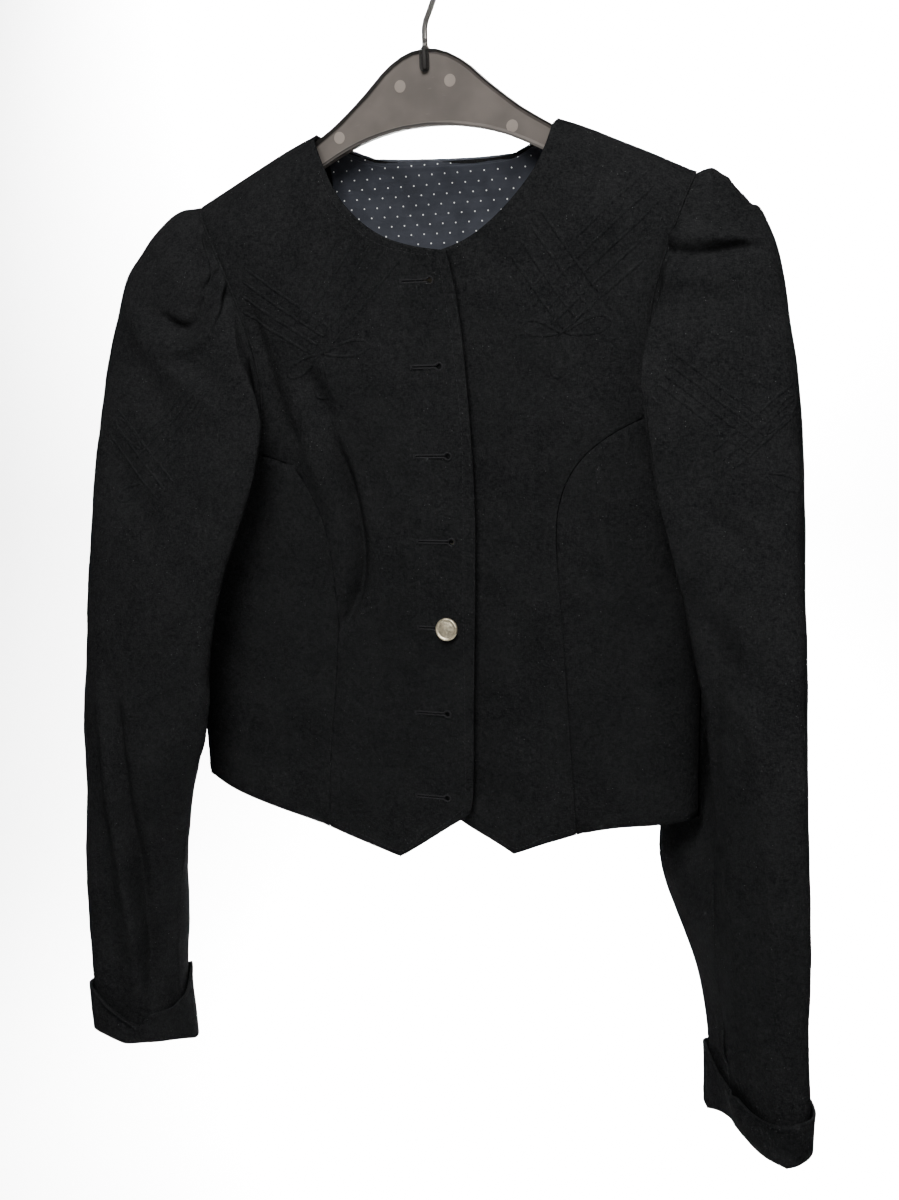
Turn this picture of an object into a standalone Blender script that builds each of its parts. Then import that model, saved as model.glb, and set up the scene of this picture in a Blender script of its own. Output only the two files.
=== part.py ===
"""A Tyrolean loden jacket, buttoned, on the plastic hanger that holds it.

The jacket is cut as a maker cuts it: two fronts and two side fronts joined by princess seams, one
back, two-piece leg-of-mutton sleeves gathered into the armholes, turn-back cuffs, a lining that shows
at the back neck, and seven pewter buttons in keyhole buttonholes. Each cloth piece is a closed wall
of real thickness, laid out on one hollow form of the hanging jacket, so that seams meet.

Lengths are in millimetres, and place() scales them to metres. X is to the right of someone who looks
at the front, Y points to the back and Z up. The origin is the inside of the hook's top. Left and right
in the names are the wearer's, so front_right lies at -X and overlaps front_left. A "drop" is a depth
below the level of the neck points.
"""

import math
from bisect import bisect_right
from typing import NamedTuple

import bmesh
import bpy
from mathutils import Matrix, Vector

MM = 0.001

# Walls and gaps.
LODEN = 2.0
LINING = 0.9
SEAM_GAP = 0.3
NECK_LEVEL = -118.0

# The form of the hanging jacket.
SHIFT = 3.0  # how far the jacket has slid to +X on its hanger
NECK_HALF = 83.0
SHOULDER_SLOPE = 0.47
SHOULDER_SOFT = 12.0
SHOULDER_ROUND = 60.0
RIGHT_SHOULDER_RISE = 3.5  # the wearer's right shoulder sits this much higher
FULLNESS = 0.35
OVERLAP_LIFT = 2.2
UNDERLAP_SINK = 4.2

# Buttons and buttonholes.
BUTTON_LINE = 12.0
BUTTON_RADIUS = 7.8
BUTTON_THICK = 3.4
BUTTON_SIDES = 18
SHANK_RADIUS = 1.3
FASTENED = 4
KEYHOLE_RADIUS = 2.0
KEYHOLE_STEPS = 10
SLIT_HALF = 0.6
CUTTER_REACH = 3.4

# The hanger and its hook.
HANGER_TOP = 46.0
HANGER_THICK = 7.0
HANGER_RIM = 3.0
HANGER_RECESS = 2.1
HANGER_TIP = 168.0
HANGER_CLEAR = 3.2
HOOK_WIRE = 2.1
HOOK_INNER = 19.0
HOOK_GAP = 0.5
HOOK_STEM = ((0.0, 0.0), (0.0, 6.0), (0.2, 12.0), (1.2, 16.0))  # x, and height over the hanger
HOOK_ARC = (-62, 198)
HANGER_NECK = ((0, 46), (12, 44.3), (27, 36), (43, 21.8), (62, 6.8), (74, -0.8), (80, -4.6))
HANGER_LOW = ((110, -40.5), (80, -23), (50, -9.3), (22, -2.5), (0, -1))

# Steps of the meshes.
ANGLE_LENGTH = 166.0  # the cloth's length per radian, for even steps
SHOULDER_STEPS = 5
NECK_STEPS = 8
ARM_STEPS = 11
LOW_STEPS = 9
UNDER_STEPS = 5
BACK_ARM_STEPS = 14
LINING_STEPS = 6
LINING_ACROSS = 13
RELAXING = 120
RING_STEP = 12.0
ARM_REACH = 30.0  # a point this far out of an armhole's middle lies inside the sleeve
SAME_POINT = 1e-6
SUB_RINGS = 2
HANGER_STEPS = 46
HOOK_STEPS = 20

# The lining and the sleeves.
LINING_INSET = 3.2
LINING_DEPTH = 112.0
LINING_TURN = 0.05  # how far its top edge lies past the neck edge, in radians
UPPER_FROM, UPPER_TO = 4.0, 2.0
GUIDES = 5
GATHERS_FROM, GATHERS_TO = -1.3, 2.0
TIP_RISE = 0.15
PLEAT_START = 8.0
PLEAT_LIP = 0.4  # the height of a gather's two lips, as a share of its depth
HEAD_START = 5.0
HEAD_SHORTER = 0.4
HEAD_RISE = 0.8
CUFF_EASE = 0.75  # between a cuff and its sleeve
CUFF_LEVELS = (0.0, 0.3, 0.65, 1.0)


class BodyRow(NamedTuple):
    """One level of the body's form: half widths to -X and +X, depths, and how far the sides lean forward."""

    drop: float
    half_minus: float
    half_plus: float
    front: float
    back: float
    lean: float


class Spot(NamedTuple):
    """A place on the body: its x, and its drop below the neck points."""

    x: float
    drop: float


class Fold(NamedTuple):
    """A soft trough along a straight line on a front, or a ridge where the depth is negative."""

    start: Spot
    end: Spot
    depth: float
    half_width: float


class Section(NamedTuple):
    """A ring of a sleeve: drops of its outer and inner points, and the plan of five guide lines."""

    outer_drop: float
    inner_drop: float
    outer: tuple
    front: tuple
    side: tuple
    inner: tuple
    back: tuple


class Pleat(NamedTuple):
    """A gather of a sleeve head: its place round the sleeve, depth, width there and length."""

    phase: float
    depth: float
    width: float
    length: float


class CuffCut(NamedTuple):
    """A cuff at a place round the sleeve: its height, its drop past the sleeve's end, and its flares."""

    phase: float
    top: float
    drop: float
    low_flare: float
    top_flare: float


class Buttonhole(NamedTuple):
    """A keyhole buttonhole: the x of its plain end and of its round end, and its drop."""

    plain_x: float
    round_x: float
    drop: float


BODY = (
    BodyRow(0, 188, 188, 30, 20, 0),
    BodyRow(130, 190, 187, 34, 27, 4),
    BodyRow(215, 191, 181, 36, 29, 9),
    BodyRow(300, 193, 176, 35, 29, 13),
    BodyRow(380, 196, 174, 32, 28, 15),
    BodyRow(450, 197, 173, 31, 28, 15),
    BodyRow(520, 197, 173, 31, 28, 15),
)
BODY_FOLDS = (
    Fold(Spot(-74, 165), Spot(-57, 285), 2.2, 9),
    Fold(Spot(-40, 120), Spot(-28, 330), -1.6, 22),
    Fold(Spot(104, 225), Spot(112, 330), 1.4, 12),
    Fold(Spot(62, 300), Spot(66, 450), 1.2, 16),
    Fold(Spot(-118, 300), Spot(-128, 450), 1.6, 14),
)

TIP_X = (-172.0, 173.5)
NECK_X = (-80.0, 86.0)
SIDE_TOP_DROP = (236.0, 226.0)
SIDE_HEM_DROP = (446.0, 450.0)
BACK_HEM_DIP = 6.0

RIGHT_NECKLINE = (Spot(-67, 20), Spot(-54, 43), Spot(-30, 66), Spot(-4, 76), Spot(22, 80))
LEFT_NECKLINE = (Spot(84, 22), Spot(76, 38), Spot(58, 57), Spot(27, 77), Spot(-14, 84))
BACK_NECKLINE = (Spot(60, 19.6), Spot(28, 21.8), Spot(-6, 20.4), Spot(-50, 16.6))
RIGHT_EDGE = (
    Spot(22, 80),
    Spot(29, 120),
    Spot(33.5, 180),
    Spot(35, 240),
    Spot(33, 300),
    Spot(28.7, 360),
    Spot(26, 410),
    Spot(23.6, 449),
)
LEFT_EDGE = (Spot(-14, 84), Spot(-12, 300), Spot(-9, 446))
RIGHT_HEM_OUT = (Spot(-89, 479), Spot(-61, 488), Spot(-33, 495))
RIGHT_HEM_IN = (Spot(-33, 495), Spot(-11, 480), Spot(9, 466), Spot(20, 459), Spot(23.6, 449))
LEFT_HEM_OUT = (Spot(96, 466), Spot(73, 475), Spot(50, 486))
LEFT_HEM_IN = (Spot(50, 486), Spot(30, 476), Spot(7, 463), Spot(-9, 446))
RIGHT_SIDE_HEM = (Spot(-89, 479), Spot(-114, 472), Spot(-148, 465), Spot(-174, 455))
LEFT_SIDE_HEM = (Spot(96, 466), Spot(120, 459), Spot(150, 455), Spot(172, 451))
RIGHT_ARMHOLE = (Spot(-152, 70), Spot(-134, 108), Spot(-121, 146), Spot(-118, 175), Spot(-122, 209))
LEFT_ARMHOLE = (Spot(166, 64), Spot(152, 110), Spot(147, 142), Spot(145, 165), Spot(146, 186.5))
RIGHT_PRINCESS = (
    Spot(-122, 209), Spot(-99, 214), Spot(-82, 235), Spot(-69, 281),
    Spot(-73, 345), Spot(-85, 428), Spot(-89, 479),
)
LEFT_PRINCESS = (
    Spot(146, 186.5), Spot(118, 200), Spot(97, 220), Spot(87, 250),
    Spot(90, 303), Spot(93, 385), Spot(96, 466),
)
RIGHT_UNDERARM = (Spot(-122, 209), Spot(-140, 227), Spot(-165, 235))
LEFT_UNDERARM = (Spot(146, 186.5), Spot(153, 204), Spot(168, 219))
RIGHT_BACK_ARMHOLE = (Spot(-160, 78), Spot(-153, 122), Spot(-156, 168), Spot(-168, 212))
LEFT_BACK_ARMHOLE = (Spot(161, 75), Spot(155, 118), Spot(157, 162), Spot(167, 203))

BUTTONHOLES = (
    Buttonhole(-11, 10, 98),
    Buttonhole(-6, 14, 152),
    Buttonhole(-6, 18, 209.5),
    Buttonhole(-7, 18, 266),
    Buttonhole(-10, 12, 325),
    Buttonhole(-16, 8, 386),
    Buttonhole(-19, 5, 447),
)

RIGHT_SLEEVE = (
    Section(43, 246, (-190, -2), (-129, -43), (-119, -44), (-196, -16), (-150, 33)),
    Section(59, 266, (-211, -6), (-124, -50), (-115, -49), (-202, -19), (-166, 42)),
    Section(93, 300, (-232, -15), (-130, -57), (-122, -55), (-210, -20), (-198, 41)),
    Section(183, 345, (-249, -35), (-152, -64), (-146, -58), (-213, -20), (-232, 28)),
    Section(312, 400, (-263, -52), (-187, -74), (-164, -60), (-216, -22), (-243, 12)),
    Section(400, 450, (-269, -61), (-206, -82), (-177, -59), (-216, -24), (-244, 0)),
    Section(500, 512, (-274, -68), (-232, -81), (-201, -55), (-214, -27), (-247, -14)),
    Section(570, 582, (-275, -74), (-229, -81), (-209, -58), (-217, -32), (-248, -26)),
    Section(638, 648, (-273, -80), (-232, -81), (-210, -59), (-217, -38), (-248, -42)),
)
LEFT_SLEEVE = (
    Section(43, 236, (192, -2), (151, -41), (156, -36), (186, -9), (153, 33)),
    Section(58, 260, (208, -6), (151, -48), (167, -43), (188, -5), (168, 43)),
    Section(96, 296, (226, -15), (154, -54), (175, -43), (189, 4), (192, 45)),
    Section(180, 340, (238, -36), (167, -58), (185, -38), (187, 21), (219, 34)),
    Section(290, 400, (245, -60), (187, -64), (187, -21), (168, 36), (224, 22)),
    Section(395, 455, (251, -74), (197, -66), (188, -15), (146, 40), (216, 22)),
    Section(485, 505, (255, -80), (212, -80), (190, -50), (137, 34), (212, 6)),
    Section(560, 572, (256, -80), (222, -83), (196, -51), (174, 6), (220, -14)),
    Section(638, 648, (256, -78), (235, -88), (205, -48), (183, -22), (226, -26)),
)
GUIDE_HEIGHTS = (0.0, 0.45, 0.7, 1.0, 0.5)  # where each guide line lies between the two drops

PLEATS = (
    Pleat(4.55, 2.6, 0.10, 45),
    Pleat(4.85, 3.0, 0.09, 60),
    Pleat(0.12, 3.2, 0.08, 55),
    Pleat(0.36, 3.6, 0.08, 70),
    Pleat(0.60, 5.0, 0.09, 120),
    Pleat(0.86, 3.4, 0.08, 60),
    Pleat(1.14, 2.4, 0.09, 45),
)

RIGHT_CUFF = (
    CuffCut(0, 34, 2.2, 0.0, 1.2),
    CuffCut(0.3, 28.5, 2.6, 0.3, 1.2),
    CuffCut(0.62, 19.5, 6.2, 0.6, 1.4),
    CuffCut(0.98, 11.5, 3.0, 0.0, 0.6),
    CuffCut(1.15, 20.5, 2.2, 0.0, 1.2),
    CuffCut(1.6, 25, 3.2, 0.0, 1.4),
    CuffCut(2.0, 28, 5.6, 0.8, 0.6),
    CuffCut(2.3, 31, 8.2, 2.4, 0.3),
    CuffCut(2.6, 42, 7.6, 2.4, 0.3),
    CuffCut(2.95, 47, 5.0, 1.0, 0.9),
    CuffCut(3.5, 38, 3.0, 0.0, 1.2),
    CuffCut(5, 34, 2.2, 0.0, 1.2),
)
LEFT_CUFF = (
    CuffCut(0, 24, 2.2, 0.0, 1.2),
    CuffCut(0.4, 24.5, 4.0, 0.3, 1.2),
    CuffCut(0.66, 24.8, 5.6, 0.3, 1.3),
    CuffCut(0.95, 25, 2.2, 0.0, 1.3),
    CuffCut(1.6, 26, 2.2, 0.9, 2.0),
    CuffCut(1.85, 25, 2.2, 1.4, 2.6),
    CuffCut(2.0, 22.5, 1.6, 0.0, 0.3),
    CuffCut(2.18, 24.5, 2.2, 0.0, 0.4),
    CuffCut(2.35, 29, 3.0, 0.0, 0.9),
    CuffCut(2.6, 35.5, 6.5, 0.3, 1.2),
    CuffCut(2.8, 37, 3.6, 0.0, 1.2),
    CuffCut(3.5, 35, 2.2, 0.0, 1.2),
    CuffCut(5, 24, 2.2, 0.0, 1.2),
)


# ---- Tables and curves ----


def between(rows, key):
    """The row of a table at a key between its rows, with each column on a smooth curve."""
    keys = [row[0] for row in rows]
    key = min(max(key, keys[0]), keys[-1])
    i = min(bisect_right(keys, key) - 1, len(rows) - 2)
    span = keys[i + 1] - keys[i]
    f = (key - keys[i]) / span
    before = rows[max(i - 1, 0)]
    after = rows[min(i + 2, len(rows) - 1)]
    values = []
    for column in range(len(rows[0])):
        a, b = rows[i][column], rows[i + 1][column]
        slope_a = (b - before[column]) / (keys[i + 1] - before[0]) * span
        slope_b = (after[column] - a) / (after[0] - keys[i]) * span
        values.append(hermite(a, b, slope_a, slope_b, f))
    return values


def hermite(a, b, slope_a, slope_b, f):
    """The cubic between two values, or two vectors, that has these slopes at its ends."""
    f2, f3 = f * f, f * f * f
    return (
        a * (2 * f3 - 3 * f2 + 1)
        + slope_a * (f3 - 2 * f2 + f)
        + b * (3 * f2 - 2 * f3)
        + slope_b * (f3 - f2)
    )


def smooth(f):
    """A step from 0 to 1 with flat ends."""
    f = min(max(f, 0.0), 1.0)
    return f * f * (3 - 2 * f)


def curve_through(points, steps=12):
    """Closely spaced points on a smooth curve through a few points of the plane."""
    points = [Vector(point) for point in points]
    if len(points) == 2:
        return [points[0].lerp(points[1], k / steps) for k in range(steps + 1)]
    dense = [points[0]]
    for i in range(len(points) - 1):
        a, b = points[i], points[i + 1]
        before = points[i - 1] if i else 2 * a - b
        after = points[i + 2] if i + 2 < len(points) else 2 * b - a
        for k in range(1, steps + 1):
            dense.append(hermite(a, b, (b - before) / 2, (after - a) / 2, k / steps))
    return dense


def spread(dense, count, measured=Vector.copy):
    """Points that divide a closely pointed line into equal steps, each measured by a function."""
    lengths = [0.0]
    for a, b in zip(dense, dense[1:]):
        lengths.append(lengths[-1] + measured(b - a).length)
    placed = []
    for k in range(count + 1):
        wanted = lengths[-1] * k / count
        i = min(bisect_right(lengths, wanted) - 1, len(dense) - 2)
        step = lengths[i + 1] - lengths[i]
        placed.append(dense[i].lerp(dense[i + 1], (wanted - lengths[i]) / step))
    return placed


def joined(*routes):
    """Routes that follow on each other, as one."""
    whole = list(routes[0])
    for route in routes[1:]:
        whole += route[1:]
    return whole


# ---- The body's form ----


def shoulder_drop(x):
    """How far the shoulder's ridge lies below the neck points."""
    past = abs(x) - NECK_HALF
    rise = RIGHT_SHOULDER_RISE * smooth(-x / SHOULDER_ROUND)
    return SHOULDER_SLOPE * (math.hypot(past, SHOULDER_SOFT) + past) / 2 - rise


def half_width(drop, sine):
    row = BodyRow(*between(BODY, drop))
    return row.half_plus if sine > 0 else row.half_minus


def body_at(angle, turn):
    """The body's surface at an angle round it and a turn over the shoulder's ridge, both in radians.

    The angle is 0 at the front and pi at the back. The turn is 0 on the ridge, and past a quarter
    turn it goes on down the body.
    """
    sine, cosine = math.sin(angle), math.cos(angle)
    if abs(turn) < math.pi / 2:
        below = SHOULDER_ROUND * (1 - math.cos(turn))
        roundness = math.sin(turn)
    else:
        below = SHOULDER_ROUND * (1 + turn - math.pi / 2)
        roundness = 1.0
    drop = below
    for _ in range(3):
        drop = below + shoulder_drop(half_width(drop, sine) * sine)
    row = BodyRow(*between(BODY, drop))
    depth = row.front if cosine > 0 else row.back
    y = -depth * cosine * (1 + FULLNESS * sine * sine) - row.lean * sine**4
    return Vector((half_width(drop, sine) * sine + SHIFT, y * roundness, -drop))


def turn_of(angle, drop):
    """The turn at which the surface has this drop."""
    sine = math.sin(angle)
    below = max(drop - shoulder_drop(half_width(drop, sine) * sine), 0.0)
    if below < SHOULDER_ROUND:
        return math.acos(1 - below / SHOULDER_ROUND)
    return math.pi / 2 + below / SHOULDER_ROUND - 1


def fold_lift(x, drop):
    """How far the body's folds raise the cloth of the fronts at a place."""
    raised = 0.0
    for fold in BODY_FOLDS:
        start, end = Vector(fold.start), Vector(fold.end)
        along = end - start
        f = (Vector((x, drop)) - start).dot(along) / along.length_squared
        near = start + along * min(max(f, 0.0), 1.0)
        away = (Vector((x, drop)) - near).length / fold.half_width
        fade = smooth(min(f, 1 - f) * 4 + 0.5)
        raised -= fold.depth * math.exp(-away * away) * fade
    return raised


def overlap_lift(x, side):
    """How far the fronts stand apart where they overlap."""
    if side < 0:
        return OVERLAP_LIFT * smooth((x + 50) / 30)
    return -UNDERLAP_SINK * smooth((70 - x) / 34)


def cloth_at(where, side=0, inset=0.0):
    """The point and the outward normal of the cloth at an angle and a turn; side is -1 or 1 on a front."""
    angle, turn = where
    point = body_at(angle, turn)
    tip = 0.002
    along = body_at(angle + tip, turn) - body_at(angle - tip, turn)
    if turn < 0.01:
        down = Vector((0, -math.cos(angle), 0))
    else:
        down = body_at(angle, turn + tip) - body_at(angle, turn - tip)
    normal = down.cross(along).normalized()
    lift = -inset
    if side:
        lift += overlap_lift(point.x, side) + fold_lift(point.x, -point.z) * smooth(turn - 0.3)
    return point + normal * lift, normal


def where_is(spot, behind=False):
    """The angle and the turn of a place that is given by its x and its drop."""
    sine = spot[0] - SHIFT
    sine /= half_width(spot[1], sine)
    angle = math.asin(min(max(sine, -1.0), 1.0))
    turn = turn_of(angle, spot[1])
    return Vector((math.pi - angle if behind else angle, turn))


def lengths_of(step):
    """A step of angle and turn as rough lengths along the cloth."""
    return Vector((step.x * ANGLE_LENGTH, step.y * SHOULDER_ROUND))


def route(spots, count, behind=False):
    """Equal steps along the smooth curve through some places of the body, as angles and turns."""
    dense = [where_is(spot, behind) for spot in curve_through(spots)]
    return spread(dense, count, lengths_of)


def ridge(x):
    return Spot(x, shoulder_drop(x - SHIFT))


def side_x(side, drop):
    return SHIFT + side * half_width(drop, side)


# ---- Panels: a grid of places between four routes, then a wall ----


def patch(top, bottom, first, last):
    """A grid of places that fills four routes: top and bottom run across, first and last down.

    It starts as a blend of the routes. Its lines are then relaxed as a smooth map from the cloth to
    the grid, which keeps each cell open even where a route turns a corner or bends inwards.
    """
    rows, columns = len(first), len(top)
    grid = []
    for j in range(rows):
        v = j / (rows - 1)
        line = []
        for i in range(columns):
            u = i / (columns - 1)
            corners = top[0].lerp(top[-1], u).lerp(bottom[0].lerp(bottom[-1], u), v)
            line.append(top[i].lerp(bottom[i], v) + first[j].lerp(last[j], u) - corners)
        grid.append(line)
    for _ in range(RELAXING):
        for j in range(1, rows - 1):
            for i in range(1, columns - 1):
                right, left, below, above = grid[j][i + 1], grid[j][i - 1], grid[j + 1][i], grid[j - 1][i]
                across, down = lengths_of(right - left), lengths_of(below - above)
                twist = grid[j + 1][i + 1] - grid[j + 1][i - 1] - grid[j - 1][i + 1] + grid[j - 1][i - 1]
                wide, tall, slant = down.dot(down), across.dot(across), across.dot(down)
                drawn = (right + left) * wide + (below + above) * tall - twist * slant / 2
                grid[j][i] = drawn / (2 * (wide + tall))
    return grid


def drawn_in(points, normals, gap, rows=True, columns=True):
    """The grid with its borders moved in by half a seam's gap, along the cloth."""
    height, width = len(points), len(points[0])
    moved = [[point.copy() for point in line] for line in points]

    def shift(j, i, along, inward):
        side = normals[j][i].cross(along).normalized()
        if side.dot(inward) < 0:
            side = -side
        moved[j][i] += side * gap

    for j in range(height):
        if columns:
            along = points[min(j + 1, height - 1)][0] - points[max(j - 1, 0)][0]
            shift(j, 0, along, points[j][1] - points[j][0])
            along = points[min(j + 1, height - 1)][-1] - points[max(j - 1, 0)][-1]
            shift(j, width - 1, along, points[j][-2] - points[j][-1])
    for i in range(width):
        if rows:
            along = points[0][min(i + 1, width - 1)] - points[0][max(i - 1, 0)]
            shift(0, i, along, points[1][i] - points[0][i])
            along = points[-1][min(i + 1, width - 1)] - points[-1][max(i - 1, 0)]
            shift(height - 1, i, along, points[-2][i] - points[-1][i])
    return moved


def wall(name, outer, normals, thickness, material, ring=False):
    """A closed wall: a grid bent to the outer points, and its copy moved in by the thickness."""
    mesh = bmesh.new()
    height, width = len(outer), len(outer[0])
    columns = width + 1 if ring else width
    number = mesh.verts.layers.int.new("number")
    made = bmesh.ops.create_grid(mesh, x_segments=columns - 1, y_segments=height - 1, size=1.0)
    for index, vertex in enumerate(made["verts"]):
        j, i = divmod(index, columns)
        vertex[number] = j * width + i % width
        vertex.co = place(outer[j][i % width])
    if ring:
        bmesh.ops.remove_doubles(mesh, verts=mesh.verts, dist=SAME_POINT)
    moved = bmesh.ops.extrude_face_region(mesh, geom=mesh.faces[:])["geom"]
    for vertex in moved:
        if isinstance(vertex, bmesh.types.BMVert):
            j, i = divmod(vertex[number], width)
            vertex.co = place(outer[j][i] - normals[j][i] * thickness)
    bmesh.ops.recalc_face_normals(mesh, faces=mesh.faces)
    bmesh.ops.triangulate(mesh, faces=mesh.faces, quad_method="SHORT_EDGE")
    return add_object(name, mesh, material)


def panel(name, grid, material, side=0, inset=0.0, thickness=LODEN):
    """The wall over a grid of places on the body."""
    points, normals = [], []
    for line in grid:
        found = [cloth_at(where, side, inset) for where in line]
        points.append([point for point, _ in found])
        normals.append([normal for _, normal in found])
    return wall(name, drawn_in(points, normals, SEAM_GAP / 2), normals, thickness, material)


# ---- Objects and materials ----


def place(point):
    """A point of the jacket in metres from the origin at the hook."""
    return Vector((point[0], point[1], point[2] + NECK_LEVEL)) * MM


def add_object(name, mesh, material, smooth_angle=40.0):
    """A mesh as a named object of the part, shaded smooth but for its sharp edges."""
    data = bpy.data.meshes.new(name)
    mesh.to_mesh(data)
    mesh.free()
    data.materials.append(material)
    data.shade_smooth()
    data.set_sharp_from_angle(angle=math.radians(smooth_angle))
    obj = bpy.data.objects.new(name, data)
    part_collection().objects.link(obj)
    return obj


def part_collection():
    return named_collection("tyrolean_loden_jacket")


def named_collection(name):
    found = bpy.data.collections.get(name)
    if found is None:
        found = bpy.data.collections.new(name)
        bpy.context.scene.collection.children.link(found)
    return found


def finish(name, colour, roughness, metallic=0.0):
    """A material of one colour, given as linear red, green and blue."""
    material = bpy.data.materials.new(name)
    material.use_nodes = True
    shader = material.node_tree.nodes["Principled BSDF"]
    shader.inputs["Base Color"].default_value = (*colour, 1.0)
    shader.inputs["Roughness"].default_value = roughness
    shader.inputs["Metallic"].default_value = metallic
    material.diffuse_color = (*colour, 1.0)
    return material


# ---- The jacket's body ----

def seams_of(side):
    """The routes of one side's seams, as angles and turns, by name; side is -1 or 1."""
    right = side < 0
    which = 0 if right else 1
    tip = ridge(TIP_X[which])
    neck = ridge(NECK_X[which])
    side_angle = side * math.pi / 2
    top_drop, hem_drop = SIDE_TOP_DROP[which], SIDE_HEM_DROP[which]
    side_top = Spot(side_x(side, top_drop), top_drop)
    side_hem = Spot(side_x(side, hem_drop), hem_drop)
    shoulder = []
    for k in range(SHOULDER_STEPS + 1):
        x = tip.x + (neck.x - tip.x) * k / SHOULDER_STEPS
        shoulder.append(Vector((where_is(ridge(x)).x, 0.0)))
    flank = []
    for k in range(LOW_STEPS + 1):
        drop = top_drop + (hem_drop - top_drop) * k / LOW_STEPS
        flank.append(Vector((side_angle, turn_of(side_angle, drop))))
    neckline = (neck,) + (RIGHT_NECKLINE if right else LEFT_NECKLINE)
    armhole = (tip,) + (RIGHT_ARMHOLE if right else LEFT_ARMHOLE)
    underarm = (RIGHT_UNDERARM if right else LEFT_UNDERARM) + (side_top,)
    side_hem_spots = (RIGHT_SIDE_HEM if right else LEFT_SIDE_HEM) + (side_hem,)
    back_spots = (tip,) + (RIGHT_BACK_ARMHOLE if right else LEFT_BACK_ARMHOLE) + (side_top,)
    back_armhole = route(back_spots, BACK_ARM_STEPS, behind=True)
    seams = {
        "shoulder": shoulder,
        "neckline": route(neckline, NECK_STEPS),
        "armhole": route(armhole, ARM_STEPS),
        "princess": route(RIGHT_PRINCESS if right else LEFT_PRINCESS, LOW_STEPS),
        "edge": route(RIGHT_EDGE if right else LEFT_EDGE, ARM_STEPS + LOW_STEPS),
        "hem_out": route(RIGHT_HEM_OUT if right else LEFT_HEM_OUT, SHOULDER_STEPS),
        "hem_in": route(RIGHT_HEM_IN if right else LEFT_HEM_IN, NECK_STEPS),
        "underarm": route(underarm, UNDER_STEPS),
        "flank": flank,
        "side_hem": route(side_hem_spots, UNDER_STEPS),
        "back_armhole": back_armhole,
    }
    for name in ("shoulder", "armhole", "neckline"):
        seams[name][0].y = 0.0
    back_armhole[0].y = 0.0
    seams["underarm"][-1] = flank[0].copy()
    seams["side_hem"][-1] = flank[-1].copy()
    back_armhole[-1] = Vector((math.pi - side_angle, flank[0].y))
    return seams


def front_panel(name, seams, side, material):
    grid = patch(
        joined(seams["shoulder"], seams["neckline"]),
        joined(seams["hem_out"], seams["hem_in"]),
        joined(seams["armhole"], seams["princess"]),
        seams["edge"],
    )
    return panel(name, grid, material, side)


def side_panel(name, seams, side, material):
    grid = patch(seams["underarm"], seams["side_hem"], seams["princess"], seams["flank"])
    return panel(name, grid, material, side)


def back_neckline(steps):
    line = route([ridge(NECK_X[1]), *BACK_NECKLINE, ridge(NECK_X[0])], steps, behind=True)
    line[0].y = line[-1].y = 0.0
    return line


def back_panel(name, right, left, material):
    """The back in one piece, from the left side seam round to the right one."""

    def behind(places):
        return [Vector((math.pi - where.x, where.y)) for where in places]

    shoulders = behind(left["shoulder"]), list(reversed(behind(right["shoulder"])))
    top = joined(shoulders[0], back_neckline(NECK_STEPS + 2), shoulders[1])
    left_side = joined(left["back_armhole"], left["flank"])
    right_side = joined(right["back_armhole"], behind(right["flank"]))
    hem = []
    for k in range(len(top)):
        f = k / (len(top) - 1)
        drop = SIDE_HEM_DROP[1] + (SIDE_HEM_DROP[0] - SIDE_HEM_DROP[1]) * f
        drop += BACK_HEM_DIP * math.sin(math.pi * f)
        angle = math.pi * (0.5 + f)
        hem.append(Vector((angle, turn_of(angle, drop))))
    return panel(name, patch(top, hem, left_side, right_side), material)


def back_lining(name, material):
    """The lining inside the back, from the neck edge to where the fronts hide it."""
    top = [Vector((where.x, where.y + LINING_TURN)) for where in back_neckline(LINING_ACROSS)[1:-1]]
    bottom = []
    for k in range(len(top)):
        angle = top[0].x + (top[-1].x - top[0].x) * k / (len(top) - 1)
        bottom.append(Vector((angle, turn_of(angle, LINING_DEPTH))))
    down = [top[0].lerp(bottom[0], k / LINING_STEPS) for k in range(LINING_STEPS + 1)]
    other = [top[-1].lerp(bottom[-1], k / LINING_STEPS) for k in range(LINING_STEPS + 1)]
    return panel(name, patch(top, bottom, down, other), material, inset=LINING_INSET, thickness=LINING)


# ---- Sleeves ----


class Ring(NamedTuple):
    """The first ring of a sleeve: its points, the cloth's normals there, and their phases."""

    points: list
    normals: list
    outward: list
    phases: list


def armhole_ring(seams, side):
    """The armhole as one closed ring of points on the body's edge, from the shoulder's tip forwards.

    A phase counts the guide lines: 0 outer, 1 front, 2 side, 3 inner, 4 back.
    """
    stretches = (
        (seams["armhole"], side, (0.0, 2.0)),
        (seams["underarm"], side, (2.0, 3.0)),
        (list(reversed(seams["back_armhole"])), 0, (3.0, 5.0)),
    )
    points, normals, phases = [], [], []
    for seam, panel_side, (start, end) in stretches:
        placed = [cloth_at(where, panel_side) for where in seam]
        steps = [(b[0] - a[0]).length for a, b in zip(placed, placed[1:])]
        travelled = 0.0
        for (a, b), length in zip(zip(placed, placed[1:]), steps):
            parts = max(round(length / RING_STEP), 1)
            for k in range(parts):
                f = k / parts
                points.append(a[0].lerp(b[0], f))
                normals.append(a[1].lerp(b[1], f).normalized())
                phases.append(start + (end - start) * (travelled + length * f) / sum(steps))
            travelled += length
    centre = sum(points, Vector()) / len(points)
    outward = []
    count = len(points)
    for i in range(count):
        along = points[(i + 1) % count] - points[i - 1]
        out = normals[i].cross(along).normalized()
        inward = centre + Vector((side * ARM_REACH, 0, 0)) - points[i]
        outward.append(out if out.dot(inward) > 0 else -out)
    return Ring(points, normals, outward, phases)


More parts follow.
